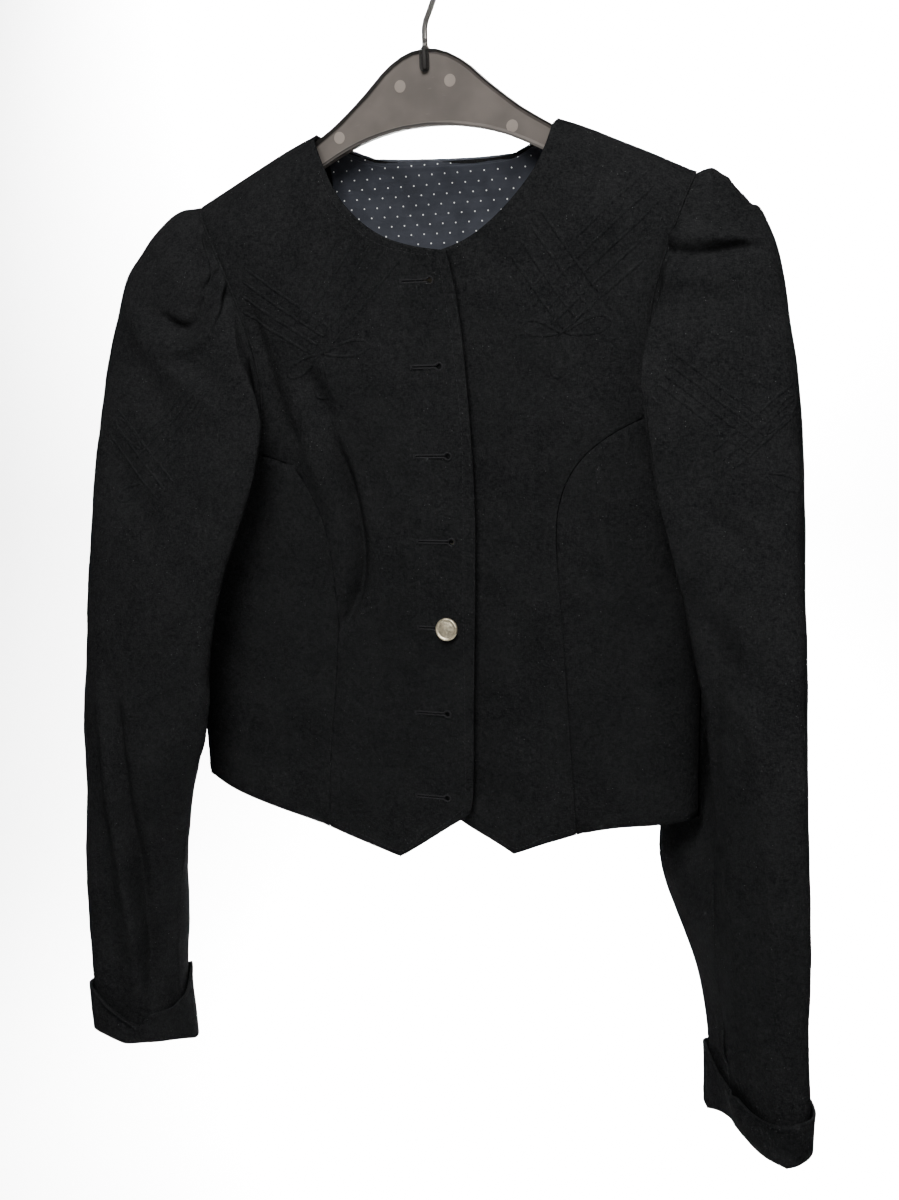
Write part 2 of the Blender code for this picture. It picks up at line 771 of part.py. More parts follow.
def section_ring(section, phases):
    """A ring of points through the five guide points of a section."""
    guides = []
    for plan, height in zip(section[2:], GUIDE_HEIGHTS):
        drop = section.outer_drop + (section.inner_drop - section.outer_drop) * height
        guides.append(Vector((plan[0], plan[1], -drop)))
    ring = []
    for phase in phases:
        i = int(phase) % GUIDES
        a, b = guides[i], guides[(i + 1) % GUIDES]
        slope_a = (b - guides[i - 1]) / 2
        slope_b = (guides[(i + 2) % GUIDES] - a) / 2
        ring.append(hermite(a, b, slope_a, slope_b, phase - int(phase)))
    return ring


def from_tip(phase):
    """A phase counted both ways from the shoulder's tip."""
    return phase if phase < GUIDES / 2 else phase - GUIDES


def gathered(phase):
    """How far a place round the sleeve belongs to the gathered head, from 0 to 1."""
    wrapped = from_tip(phase)
    return smooth((wrapped - GATHERS_FROM) / 0.6) * smooth((GATHERS_TO - wrapped) / 0.8)


def raised(phase):
    """How steeply the head stands up from the armhole at a place: less at the shoulder's tip."""
    rest = smooth(abs(from_tip(phase)) / 0.5)
    return gathered(phase) * (TIP_RISE + (1 - TIP_RISE) * rest)


def sleeve_rings(ring, sections):
    """All the rings of a sleeve, from the armhole to the wrist."""
    start, head = [], []
    for point, normal, out, phase in zip(ring.points, ring.normals, ring.outward, ring.phases):
        start.append(point + out * SEAM_GAP)
        full = raised(phase)
        level = out * (1 - HEAD_SHORTER * full) + normal * HEAD_RISE * full
        head.append(point + level * HEAD_START)
    knots = [start, head] + [section_ring(section, ring.phases) for section in sections]
    rings = [start]
    for j in range(len(knots) - 1):
        steps = 1 if j == 0 else SUB_RINGS
        for k in range(1, steps + 1):
            line = []
            for i in range(len(start)):
                a, b = knots[j][i], knots[j + 1][i]
                before = knots[j - 1][i] if j else 2 * a - b
                after = knots[j + 2][i] if j + 2 < len(knots) else 2 * b - a
                span = (b - a).length
                slope_a = (b - before) * (span / max((b - a).length + (a - before).length, 0.1))
                slope_b = (after - a) * (span / max((b - a).length + (after - b).length, 0.1))
                line.append(hermite(a, b, slope_a, slope_b, k / steps))
            rings.append(line)
    return rings


def ring_normals(rings):
    """Outward normals of a tube of rings, found from each point's neighbours."""
    normals = []
    count = len(rings[0])
    for j, line in enumerate(rings):
        above, below = rings[max(j - 1, 0)], rings[min(j + 1, len(rings) - 1)]
        centre = sum(line, Vector()) / count
        found = []
        for i in range(count):
            along = line[(i + 1) % count] - line[i - 1]
            normal = (below[i] - above[i]).cross(along).normalized()
            found.append(normal)
        if sum((n.dot(p - centre) for n, p in zip(found, line)), 0.0) < 0:
            found = [-normal for normal in found]
        normals.append(found)
    return normals


def pleated(rings, normals, phases):
    """The rings with the gathers of the sleeve head pressed in."""
    pressed = []
    for j, line in enumerate(rings):
        row = []
        for i, point in enumerate(line):
            distance = (point - rings[0][i]).length
            depth = 0.0
            for pleat in PLEATS:
                away = abs(phases[i] - pleat.phase)
                away = min(away, GUIDES - away) / pleat.width
                fade = smooth(distance / PLEAT_START) * (1 - smooth(distance / pleat.length))
                lips = PLEAT_LIP * math.exp(-away * away / 6)
                depth += pleat.depth * fade * (math.exp(-away * away) - lips)
            row.append(point - normals[j][i] * depth * gathered(phases[i]))
        pressed.append(row)
    return pressed


def sleeve(name_upper, name_under, rings, normals, phases, material):
    """A sleeve in two pieces, parted along the side guide line and the back one."""
    count = len(phases)
    first = min(range(count), key=lambda i: abs(phases[i] - UPPER_FROM))
    last = min(range(count), key=lambda i: abs(phases[i] - UPPER_TO))
    upper = [i % count for i in range(first, last + count + 1)]
    under = list(range(last, first + 1))
    for name, columns in ((name_upper, upper), (name_under, under)):
        points = [[line[i] for i in columns] for line in rings]
        facing = [[line[i] for i in columns] for line in normals]
        points = drawn_in(points, facing, SEAM_GAP / 2, rows=False)
        wall(name, points, facing, LODEN, material)


def cuff(name, rings, normals, phases, cuts, material):
    """A turned-back cuff: a band outside the sleeve's end, its top edge cut to a V at the front."""
    rows = [CuffCut(*between(cuts, phase)) for phase in phases]
    outer = []
    for level in CUFF_LEVELS:
        line = []
        for i, row in enumerate(rows):
            height = -row.drop + (row.top + row.drop) * level
            away = LODEN + CUFF_EASE + row.low_flare + (row.top_flare - row.low_flare) * level
            line.append(along_sleeve(rings, i, height) + normals[-2][i] * away)
        outer.append(line)
    return wall(name, outer, [normals[-2]] * len(outer), LODEN, material, ring=True)


def along_sleeve(rings, i, height):
    """The point of one line of a sleeve at a height above its end, or below it if negative."""
    end, before = rings[-1][i], rings[-2][i]
    if height <= 0:
        return end + (end - before).normalized() * -height
    left = height
    for j in range(len(rings) - 1, 0, -1):
        step = rings[j - 1][i] - rings[j][i]
        if step.length >= left:
            return rings[j][i] + step * (left / step.length)
        left -= step.length
    return rings[0][i]


# ---- Buttons and buttonholes ----


def button_profile():
    """Radius and height of a button's turned shape, from its back to the middle of its face."""
    r, t = BUTTON_RADIUS, BUTTON_THICK
    return (
        (0.0, 0.0), (r * 0.8, 0.0), (r, t * 0.3), (r, t * 0.55), (r * 0.9, t * 0.72),
        (r * 0.78, t * 0.52), (r * 0.55, t * 0.8), (0.0, t),
    )


def turned(profile, sides):
    """A closed turned shape about Z, from a profile that starts and ends on the axis."""
    mesh = bmesh.new()
    line = [mesh.verts.new((radius, 0.0, height)) for radius, height in profile]
    edges = [mesh.edges.new(pair) for pair in zip(line, line[1:])]
    around = {"cent": (0, 0, 0), "axis": (0, 0, 1), "angle": 2 * math.pi}
    bmesh.ops.spin(mesh, geom=line + edges, steps=sides, use_merge=True, **around)
    bmesh.ops.remove_doubles(mesh, verts=mesh.verts, dist=0.001)
    bmesh.ops.recalc_face_normals(mesh, faces=mesh.faces)
    return mesh


def button(name, hole, number, material):
    """A pewter button on the underlap; the fastened one lies outside, with its shank in the hole."""
    where = where_is(Spot(BUTTON_LINE, hole.drop))
    seat, normal = cloth_at(where, 1)
    profile = list(button_profile())
    if number == FASTENED:
        outside, _ = cloth_at(where, -1)
        length = (outside - seat).length
        foot = ((0.0, -length), (SHANK_RADIUS, -length), (SHANK_RADIUS, 0.0))
        profile = [*foot, *profile[1:]]
        seat = outside
    mesh = turned(profile, BUTTON_SIDES)
    turn = normal.to_track_quat("Z", "Y").to_matrix().to_4x4()
    base = seat + normal * SEAM_GAP
    bmesh.ops.transform(mesh, matrix=Matrix.Translation(base) @ turn, verts=mesh.verts)
    for vertex in mesh.verts:
        vertex.co = place(vertex.co)
    return add_object(name, mesh, material, smooth_angle=50)


def keyhole_cutter(holes):
    """The seven keyhole buttonholes, as one object of separate prisms through the overlap."""
    mesh = bmesh.new()
    mouth = math.asin(SLIT_HALF / KEYHOLE_RADIUS)
    for hole in holes:
        outline = [(hole.plain_x, -SLIT_HALF), (hole.plain_x, SLIT_HALF)]
        for k in range(KEYHOLE_STEPS + 1):
            angle = math.pi - mouth - (2 * math.pi - 2 * mouth) * k / KEYHOLE_STEPS
            x = hole.round_x + KEYHOLE_RADIUS * math.cos(angle)
            outline.append((x, KEYHOLE_RADIUS * math.sin(angle)))
        middle, _ = cloth_at(where_is(Spot(hole.round_x, hole.drop)), -1)
        corners = [mesh.verts.new(place((x, middle.y - CUTTER_REACH, z - hole.drop))) for x, z in outline]
        face = mesh.faces.new(corners)
        moved = bmesh.ops.extrude_face_region(mesh, geom=[face])["geom"]
        far = [item for item in moved if isinstance(item, bmesh.types.BMVert)]
        bmesh.ops.translate(mesh, verts=far, vec=Vector((0, 2 * CUTTER_REACH, 0)) * MM)
    bmesh.ops.recalc_face_normals(mesh, faces=mesh.faces)
    data = bpy.data.meshes.new("buttonhole_cutter")
    mesh.to_mesh(data)
    mesh.free()
    cutter = bpy.data.objects.new("buttonhole_cutter", data)
    cutter.hide_render = True
    cutter.display_type = "WIRE"
    named_collection("cutters").objects.link(cutter)
    return cutter


def cut(obj, cutter):
    modifier = obj.modifiers.new("buttonholes", "BOOLEAN")
    modifier.operation = "DIFFERENCE"
    modifier.object = cutter
    modifier.solver = "EXACT"


# ---- Hanger and hook ----


TURN_STEP, TURN_LIMIT = 0.02, 1.2


def under_cloth(x):
    """The height just under the cloth of the shoulder at an x, where the hanger's edge fits."""
    lowest = 0.0
    for behind in (False, True):
        turn = 0.0
        while True:
            where = Vector((where_is(ridge(x), behind).x, turn))
            point, _ = cloth_at(where, inset=LODEN)
            if abs(point.y) > HANGER_THICK / 2 or turn > TURN_LIMIT:
                break
            turn += TURN_STEP
        lowest = min(lowest, point.z)
    return lowest - HANGER_CLEAR


def hanger_outline():
    """The plate's outline: concave shoulders down to the arms, round tips, and an arched lower edge."""
    arm = [(x, min(under_cloth(x), under_cloth(-x))) for x in (93, 105, 125, 150, HANGER_TIP - 5)]
    tip_height = arm[-1][1]
    tip = [(HANGER_TIP, tip_height - 7), (HANGER_TIP - 6, tip_height - 14)]
    low = [(140, tip_height - 6), *HANGER_LOW]
    half = spread(curve_through([*HANGER_NECK, *arm, *tip, *low]), HANGER_STEPS)
    other = [Vector((-point.x, point.y)) for point in reversed(half[1:-1])]
    return list(half) + other


def hanger(name, material):
    """The plate with a thicker rim all round: an outline with both faces set in and back."""
    mesh = bmesh.new()
    corners = [mesh.verts.new(place((x, -HANGER_THICK / 2, z))) for x, z in hanger_outline()]
    face = mesh.faces.new(corners)
    moved = bmesh.ops.extrude_face_region(mesh, geom=[face])["geom"]
    far = [item for item in moved if isinstance(item, bmesh.types.BMVert)]
    bmesh.ops.translate(mesh, verts=far, vec=Vector((0, HANGER_THICK, 0)) * MM)
    bmesh.ops.recalc_face_normals(mesh, faces=mesh.faces)
    caps = [cap for cap in mesh.faces if abs(cap.normal.y) > 0.9]
    for cap in caps:
        bmesh.ops.inset_region(
            mesh, faces=[cap], thickness=HANGER_RIM * MM, depth=0, use_even_offset=True
        )
        bmesh.ops.translate(mesh, verts=cap.verts, vec=-cap.normal * HANGER_RECESS * MM)
    bmesh.ops.triangulate(mesh, faces=mesh.faces)
    return add_object(name, mesh, material, smooth_angle=30)


def hook(name, material):
    """The steel wire hook: a stem out of the hanger, then most of a circle over the rod."""
    radius = HOOK_INNER + HOOK_WIRE
    foot = NECK_LEVEL + HANGER_TOP + HOOK_GAP
    points = [(x, foot + rise) for x, rise in HOOK_STEM]
    start, last = (math.radians(angle) for angle in HOOK_ARC)
    for k in range(HOOK_STEPS + 1):
        angle = start + (last - start) * k / HOOK_STEPS
        points.append((radius * math.cos(angle), radius * math.sin(angle) - HOOK_INNER))
    curve = bpy.data.curves.new(name, "CURVE")
    curve.dimensions = "3D"
    curve.bevel_depth = HOOK_WIRE * MM
    curve.bevel_resolution = 2
    curve.use_fill_caps = True
    spline = curve.splines.new("POLY")
    spline.points.add(len(points) - 1)
    for target, (x, z) in zip(spline.points, points):
        target.co = (x * MM, 0.0, z * MM, 1.0)
    curve.materials.append(material)
    obj = bpy.data.objects.new(name, curve)
    part_collection().objects.link(obj)
    return obj


# ---- The whole ----


def clear_scene():
    for obj in list(bpy.data.objects):
        bpy.data.objects.remove(obj, do_unlink=True)


def main():
    clear_scene()
    loden = []
    for k in range(4):
        shade = 0.001 * k
        loden.append(finish(f"loden_{k}", (0.0095 + shade, 0.0105 + shade, 0.0115 + shade), 0.95))
    dotted = finish("dotted_lining", (0.028, 0.03, 0.045), 0.7)
    pewter = finish("pewter", (0.40, 0.34, 0.24), 0.38, 1.0)
    plastic = finish("grey_plastic", (0.195, 0.171, 0.154), 0.45)
    steel = finish("steel", (0.55, 0.55, 0.56), 0.2, 1.0)

    right, left = seams_of(-1), seams_of(1)
    overlap = front_panel("front_right", right, -1, loden[0])
    front_panel("front_left", left, 1, loden[1])
    side_panel("side_front_right", right, -1, loden[2])
    side_panel("side_front_left", left, 1, loden[3])
    back_panel("back", right, left, loden[0])
    back_lining("back_lining", dotted)

    for side, seams, sections, heights, name in (
        (-1, right, RIGHT_SLEEVE, RIGHT_CUFF, "right"),
        (1, left, LEFT_SLEEVE, LEFT_CUFF, "left"),
    ):
        ring = armhole_ring(seams, side)
        rings = sleeve_rings(ring, sections)
        rings = pleated(rings, ring_normals(rings), ring.phases)
        normals = ring_normals(rings)
        sleeve(f"upper_sleeve_{name}", f"under_sleeve_{name}", rings, normals, ring.phases, loden[1])
        cuff(f"cuff_{name}", rings, normals, ring.phases, heights, loden[3])

    cut(overlap, keyhole_cutter(BUTTONHOLES))
    for number, hole in enumerate(BUTTONHOLES):
        button(f"button_{number + 1}", hole, number, pewter)
    hanger("hanger", plastic)
    hook("hook", steel)


main()
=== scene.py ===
"""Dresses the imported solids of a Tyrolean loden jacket, buttoned, on its plastic hanger.

Tables are in millimetres, in the frame of the solids: X to the right of someone who looks at the
front, Y to the back, and a "drop" is a depth below the neck points. The solids' own meshes are in
metres. Left and right in the names are the wearer's.
"""

import logging
import math
from dataclasses import dataclass
from enum import Enum
from typing import Callable, Iterable, NamedTuple, Sequence, Union

import bmesh
import bpy
import numpy as np
from bmesh.types import BMesh, BMFace, BMVert
from bpy.types import Camera, Light, Material, Mesh, Node, NodeSocket, Object
from mathutils import Matrix, Vector
from mathutils.bvhtree import BVHTree


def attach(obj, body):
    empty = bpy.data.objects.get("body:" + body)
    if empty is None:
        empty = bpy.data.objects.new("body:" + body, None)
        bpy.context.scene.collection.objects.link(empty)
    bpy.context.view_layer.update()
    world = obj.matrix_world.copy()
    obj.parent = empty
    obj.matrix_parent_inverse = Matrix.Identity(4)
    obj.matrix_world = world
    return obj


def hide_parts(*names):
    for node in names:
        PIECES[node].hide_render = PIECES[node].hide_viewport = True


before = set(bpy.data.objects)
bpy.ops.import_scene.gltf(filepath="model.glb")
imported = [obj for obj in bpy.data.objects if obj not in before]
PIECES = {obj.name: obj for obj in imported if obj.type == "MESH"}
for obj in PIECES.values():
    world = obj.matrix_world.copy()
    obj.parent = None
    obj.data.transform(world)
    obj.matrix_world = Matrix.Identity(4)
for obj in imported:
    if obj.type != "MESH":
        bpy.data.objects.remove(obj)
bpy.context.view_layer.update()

log = logging.getLogger("jacket")

MM = 0.001
NECK_LEVEL = -118.0
BODY = "root"

Point = tuple[float, float, float]
Line = tuple[Point, ...]


class Slot(Enum):
    """The record's finishes."""

    LODEN = "loden"
    LINING = "lining"
    PEWTER = "pewter"
    PLASTIC = "hanger_plastic"
    STEEL = "hook_steel"


class Side(Enum):
    """The wearer's right or left."""

    RIGHT = "right"
    LEFT = "left"


# ---- Shader maths ----


class Value:
    """A shader socket that Python arithmetic turns into Math nodes."""

    def __init__(self, shader: "Shader", socket: NodeSocket) -> None:
        """Keeps the socket and the shader that it belongs to."""
        self.shader = shader
        self.socket = socket

    def math(self, operation: str, *others: "Number") -> "Value":
        """Adds one Math node.

        Args:
            operation: The Math node's operation.
            others: Its second and third inputs.

        Returns:
            The node's result.
        """
        inputs = dict(enumerate((self, *others)))
        node = self.shader.node("ShaderNodeMath", {"operation": operation}, inputs)
        return Value(self.shader, node.outputs[0])

    def _after(self, operation: str, first: float) -> "Value":
        """A Math node whose first input is a plain number."""
        node = self.shader.node("ShaderNodeMath", {"operation": operation}, {0: first, 1: self})
        return Value(self.shader, node.outputs[0])

    def __add__(self, other: "Number") -> "Value":
        """The sum."""
        return self.math("ADD", other)

    def __radd__(self, other: float) -> "Value":
        """The sum, from a plain number."""
        return self.math("ADD", other)

    def __sub__(self, other: "Number") -> "Value":
        """The difference."""
        return self.math("SUBTRACT", other)

    def __rsub__(self, other: float) -> "Value":
        """The difference, from a plain number."""
        return self._after("SUBTRACT", other)

    def __mul__(self, other: "Number") -> "Value":
        """The product."""
        return self.math("MULTIPLY", other)

    def __rmul__(self, other: float) -> "Value":
        """The product, from a plain number."""
        return self.math("MULTIPLY", other)

    def __pow__(self, other: "Number") -> "Value":
        """The power."""
        return self.math("POWER", other)

    def floor(self) -> "Value":
        """The whole part."""
        return self.math("FLOOR")

    def fraction(self) -> "Value":
        """What is left past the whole part."""
        return self.math("FRACT")

    def between(self, low: float, high: float, start: float = 0.0, end: float = 1.0) -> "Value":
        """A soft step.

        Args:
            low: Where the step starts.
            high: Where it ends.
            start: Its value before the step.
            end: Its value after it.

        Returns:
            The stepped value.
        """
        inputs = {"Value": self, "From Min": low, "From Max": high, "To Min": start, "To Max": end}
        settings = {"interpolation_type": "SMOOTHSTEP"}
        node = self.shader.node("ShaderNodeMapRange", settings, inputs)
        return Value(self.shader, node.outputs["Result"])


Number = Union[Value, float]


class Shader:
    """A material's nodes, ending in one Principled shader."""

    def __init__(self, name: str) -> None:
        """Starts a material that holds only the shader and its output.

        Args:
            name: The material's name.
        """
        self.material = bpy.data.materials.new(name)
        self.material.use_nodes = True
        self.tree = self.material.node_tree
        self.tree.nodes.clear()
        self.surface = self.node("ShaderNodeBsdfPrincipled", {}, {})
        self.node("ShaderNodeOutputMaterial", {}, {"Surface": self.surface.outputs[0]})
        self.place = self.node("ShaderNodeTexCoord", {}, {}).outputs["Object"]

    def node(self, kind: str, settings: dict, inputs: dict) -> Node:
        """Adds a node.

        Args:
            kind: The node's type.
            settings: Its settings, set before its inputs.
            inputs: Values or links for its sockets, by name or number.

        Returns:
            The node.
        """
        node = self.tree.nodes.new(kind)
        for name, setting in settings.items():
            setattr(node, name, setting)
        for key, given in inputs.items():
            if isinstance(given, Value):
                given = given.socket
            if isinstance(given, NodeSocket):
                self.tree.links.new(given, node.inputs[key])
            else:
                node.inputs[key].default_value = given
        return node

    def axes(self) -> tuple[Value, Value, Value]:
        """The place on the piece along X, Y and Z, in metres."""
        node = self.node("ShaderNodeSeparateXYZ", {}, {0: self.place})
        return tuple(Value(self, socket) for socket in node.outputs)

    def noise(self, size: float, detail: float, rough: float, stretch: Point = (1, 1, 1)) -> Value:
        """Soft noise.

        Args:
            size: The size of its lumps in millimetres.
            detail: How many finer layers it has.
            rough: How strong they are.
            stretch: How many times longer the lumps are along each axis.

        Returns:
            The noise, from 0 to 1.
        """
        scale = tuple(1 / factor for factor in stretch)
        place = self.node("ShaderNodeMapping", {}, {"Vector": self.place, "Scale": scale})
        inputs = {
            "Vector": place.outputs[0],
            "Scale": 1 / (size * MM),
            "Detail": detail,
            "Roughness": rough,
        }
        return Value(self, self.node("ShaderNodeTexNoise", {}, inputs).outputs[0])

    def cells(self, size: float) -> Value:
        """The distance in cells, each of a size in millimetres, to the nearest of many points."""
        inputs = {"Vector": self.place, "Scale": 1 / (size * MM)}
        return Value(self, self.node("ShaderNodeTexVoronoi", {}, inputs).outputs["Distance"])

    def blend(self, part: Value, first: Sequence[float], second: Sequence[float]) -> NodeSocket:
        """A colour between two.

        Args:
            part: 0 for the first colour, 1 for the second.
            first: A colour, or a colour socket.
            second: A colour, or a colour socket.

        Returns:
            The colour's socket.
        """
        settings = {"data_type": "RGBA"}
        node = self.node("ShaderNodeMix", settings, {"Factor": part, 6: opaque(first), 7: opaque(second)})
        return node.outputs[2]

    def raise_by(self, *layers: tuple[Value, float]) -> None:
        """Raises the surface by several heights.

        Args:
            layers: Pairs of a height from 0 to 1 and the millimetres that it stands for.
        """
        normal = None
        for height, depth in layers:
            inputs = {"Height": height, "Strength": 1.0, "Distance": depth * MM}
            if normal is not None:
                inputs["Normal"] = normal
            normal = self.node("ShaderNodeBump", {}, inputs).outputs[0]
        self.tree.links.new(normal, self.surface.inputs["Normal"])

    def finish(self, **inputs: Union[Value, float, Sequence[float], NodeSocket]) -> Material:
        """Sets the Principled shader's inputs.

        Args:
            inputs: Values or links by socket name, with _ for a space.

        Returns:
            The finished material.
        """
        for name, given in inputs.items():
            key = name.replace("_", " ").title().replace("Ior", "IOR")
            if isinstance(given, Value):
                given = given.socket
            if isinstance(given, NodeSocket):
                self.tree.links.new(given, self.surface.inputs[key])
            else:
                self.surface.inputs[key].default_value = given
        return self.material


def opaque(colour: Union[Sequence[float], NodeSocket]) -> Union[tuple, NodeSocket]:
    """A colour with its alpha, or a socket as it is."""
    return colour if isinstance(colour, NodeSocket) else (*colour, 1.0)


# ---- Finishes ----


@dataclass(frozen=True)
class Loden:
    """Felted boiled wool: near black and quite dull, with a matted nap and a few specks of lint."""

    deep: Point = (0.0030, 0.0033, 0.0035)
    worn: Point = (0.0152, 0.0154, 0.0156)
    lint: Point = (0.080, 0.082, 0.080)

    def material(self) -> Material:
        """The wool's material.

        Returns:
            The material.
        """
        shader = Shader("black_loden")
        across = shader.noise(0.8, 3, 0.7, (2.6, 1, 1))
        down = shader.noise(0.7, 3, 0.7, (1, 1, 2.6))
        fibres = across * 0.5 + down * 0.5
        felt = shader.noise(3.4, 3, 0.62)
        mottle = shader.noise(30, 2, 0.5)
        nap = fibres.between(0.36, 0.66) * 0.64 + felt.between(0.32, 0.7) * 0.22
        nap = nap + mottle.between(0.3, 0.7) * 0.14
        bare = shader.noise(11, 1, 0.5).between(0.5, 0.62)
        lint = shader.cells(3.6).between(0.055, 0.085, 1, 0) * bare
        shader.raise_by((felt, 0.5), (fibres, 0.34), (lint, 0.15))
        return shader.finish(
            base_color=shader.blend(lint * 0.8, shader.blend(nap, self.deep, self.worn), self.lint),
            roughness=1.0,
            specular_ior_level=0.0,
        )


@dataclass(frozen=True)
class Thread:
    """Twisted sewing thread, in a colour."""

    name: str
    colour: Point

    def material(self) -> Material:
        """The thread's material.

        Returns:
            The material.
        """
        shader = Shader(self.name)
        ply = shader.noise(0.4, 1, 0.5, (1, 1, 2.5))
        light = tuple(channel * 1.7 for channel in self.colour)
        shader.raise_by((ply, 0.06))
        return shader.finish(
            base_color=shader.blend(ply.between(0.3, 0.7), self.colour, light),
            roughness=0.82,
            specular_ior_level=0.12,
        )


@dataclass(frozen=True)
class DottedLining:
    """A navy lining with small white dots in staggered rows."""

    name: str = "dotted_lining"
    ground: Point = (0.029, 0.0315, 0.040)
    shade: Point = (0.0205, 0.0225, 0.029)
    dot: Point = (0.80, 0.81, 0.80)
    pitch: float = 9.3
    row: float = 6.25
    radius: float = 0.44

    def material(self) -> Material:
        """The lining's material.

        Returns:
            The material.
        """
        shader = Shader(self.name)
        x, _, z = shader.axes()
        waver = shader.noise(30, 1, 0.5) * 0.5
        across = x * (1 / (self.pitch * MM)) + waver * 0.16
        down = z * (1 / (self.row * MM)) + waver * 0.22
        stagger = (down.floor() * 0.5).fraction()
        dx = ((across + stagger).fraction() - 0.5) * self.pitch
        dz = (down.fraction() - 0.5) * self.row
        away = (dx * dx + dz * dz) ** 0.5
        dots = away.between(self.radius - 0.13, self.radius + 0.13, 1, 0)
        weave_x = (x * (2 * math.pi / (0.42 * MM))).math("SINE")
        weave_z = (z * (2 * math.pi / (0.42 * MM))).math("SINE")
        weave = weave_x * weave_z * 0.5 + 0.5
        cloth = shader.blend(shader.noise(14, 2, 0.5).between(0.3, 0.7), self.shade, self.ground)
        shader.raise_by((weave, 0.05), (shader.noise(9, 2, 0.5, (3, 1, 1)), 0.7))
        return shader.finish(
            base_color=shader.blend(dots, cloth, self.dot),
            roughness=dots * -0.1 + 0.78,
            specular_ior_level=0.2,
        )


@dataclass(frozen=True)
class Pewter:
    """Cast pewter with a soft sheen, darker where polish doesn't reach."""

    bright: Point = (0.71, 0.62, 0.44)
    dull: Point = (0.26, 0.23, 0.17)

    def material(self) -> Material:
        """The pewter's material.

        Returns:
            The material.
        """
        shader = Shader("pewter")
        hammered = shader.noise(1.9, 1, 0.4)
        stain = shader.noise(4, 3, 0.6).between(0.35, 0.72)
        shader.raise_by((hammered, 0.35), (shader.noise(0.35, 2, 0.6), 0.05))
        return shader.finish(
            base_color=shader.blend(stain, self.bright, self.dull),
            metallic=0.9,
            roughness=stain * 0.18 + 0.34,
        )


@dataclass(frozen=True)
class HangerPlastic:
    """Moulded grey plastic with a fine satin grain and small scuffs; painted shade darkens its rim above.

    The painted shade starts at slope_start from the middle plane, and thinner moves that out on the left.
    Below two lines that fall by slope from middle it is weaker, with a stronger line of painted shade up to
    line_end.
    """

    name: str
    pale: Point
    dark: Point
    # rim: the colour of the painted shade on the rim's slopes
    rim: Point = (0.016, 0.015, 0.014)
    slope_start: float = 1.6
    thinner: float = 0.7
    line_end: float = 2.4
    middle: float = 22.0
    slope: float = 0.42

    def material(self) -> Material:
        """The plastic's material.

        Returns:
            The material.
        """
        shader = Shader(self.name)
        x, y, z = shader.axes()
        cloud = shader.noise(40, 3, 0.55).between(0.3, 0.7)
        scuff = shader.noise(1.0, 2, 0.6, (9, 1, 2)).between(0.68, 0.78)
        shader.raise_by((shader.noise(0.5, 2, 0.5), 0.03), (scuff, -0.02))
        lifted = tuple(min(channel * 1.35, 1) for channel in self.pale)
        depth = y.math("ABSOLUTE")
        # Painted shade on the rim's slopes: full above, where the flange's slope lies in shade; weaker below,
        # where it darkens the lower slope against the light that it catches; a darker painted line along the
        # lower edge
        bank = (depth - x.between(-5 * MM, 25 * MM, 0.0, self.thinner * MM)).between(
            self.slope_start * MM, (self.slope_start + 0.4) * MM
        )
        divide = x.math("ABSOLUTE") * -self.slope + (NECK_LEVEL + self.middle) * MM
        upper = (z - divide).between(-2 * MM, 2 * MM)
        line = bank - depth.between(self.line_end * MM, (self.line_end + 0.4) * MM)
        painted_rim_shade = bank * upper + (line * 0.3 + bank * 0.62) * (1 - upper)
        face = shader.blend(scuff * 0.3, shader.blend(cloud, self.dark, self.pale), lifted)
        return shader.finish(
            base_color=shader.blend(painted_rim_shade.math("MINIMUM", 1.0), face, self.rim),
            roughness=cloud * 0.08 + 0.5,
            specular_ior_level=0.1,
        )


@dataclass(frozen=True)
class HookSteel:
    """Bright drawn steel wire."""

    def material(self) -> Material:
        """The steel's material.

        Returns:
            The material.
        """
        shader = Shader("hook_steel")
        drawn = shader.noise(0.3, 2, 0.5, (1, 1, 30))
        cloud = shader.noise(6, 2, 0.5)
        shader.raise_by((drawn, 0.01))
        return shader.finish(
            base_color=shader.blend(cloud, (0.40, 0.37, 0.34), (0.52, 0.49, 0.46)),
            metallic=1.0,
            roughness=drawn * 0.14 + 0.16,
        )


# ---- Lines and small shapes ----

AHEAD = Vector((0, 1, 0))
IN_FRONT = -60.0
MERGE = 2e-5
FINE_MERGE = 1e-6


def at(x: float, y: float, drop: float) -> Vector:
    """A point of the tables, in metres."""
    return Vector((x, y, NECK_LEVEL - drop)) * MM


def rows_of(points: Iterable) -> np.ndarray:
    """Points as the rows of an array."""
    return np.array([tuple(point) for point in points])


def placed(name: str, data: Union[Mesh, Light, Camera]) -> Object:
    """A new object in the scene.

    Args:
        name: Its name.
        data: Its mesh, light or camera.

    Returns:
        The object.
    """
    obj = bpy.data.objects.new(name, data)
    bpy.context.scene.collection.objects.link(obj)
    return obj


def mesh_of(bm: BMesh, name: str) -> Mesh:
    """A mesh from a bmesh, which is freed.

    Args:
        bm: The bmesh.
        name: The mesh's name.

    Returns:
        The mesh.
    """
    mesh = bpy.data.meshes.new(name)
    bm.to_mesh(mesh)
    bm.free()
    return mesh


def solid_of(node: str) -> BMesh:
    """A node's solid, with the corners of its triangles merged.

    Args:
        node: The node.

    Returns:
        The solid.
    """
    bm = bmesh.new()
    bm.from_mesh(PIECES[node].data)
    bmesh.ops.remove_doubles(bm, verts=bm.verts, dist=MERGE)
    return bm


def ring(radius: float, corners: int, lift: float = 0.0) -> list[tuple[float, float]]:
    """The corners of a round section, anticlockwise.

    Args:
        radius: Its radius.
        corners: How many corners it has.
        lift: The height of its middle.

    Returns:
        The corners as (across, up).
    """
    turns = [2 * math.pi * k / corners for k in range(corners)]
    return [(radius * math.cos(turn), lift + radius * math.sin(turn)) for turn in turns]


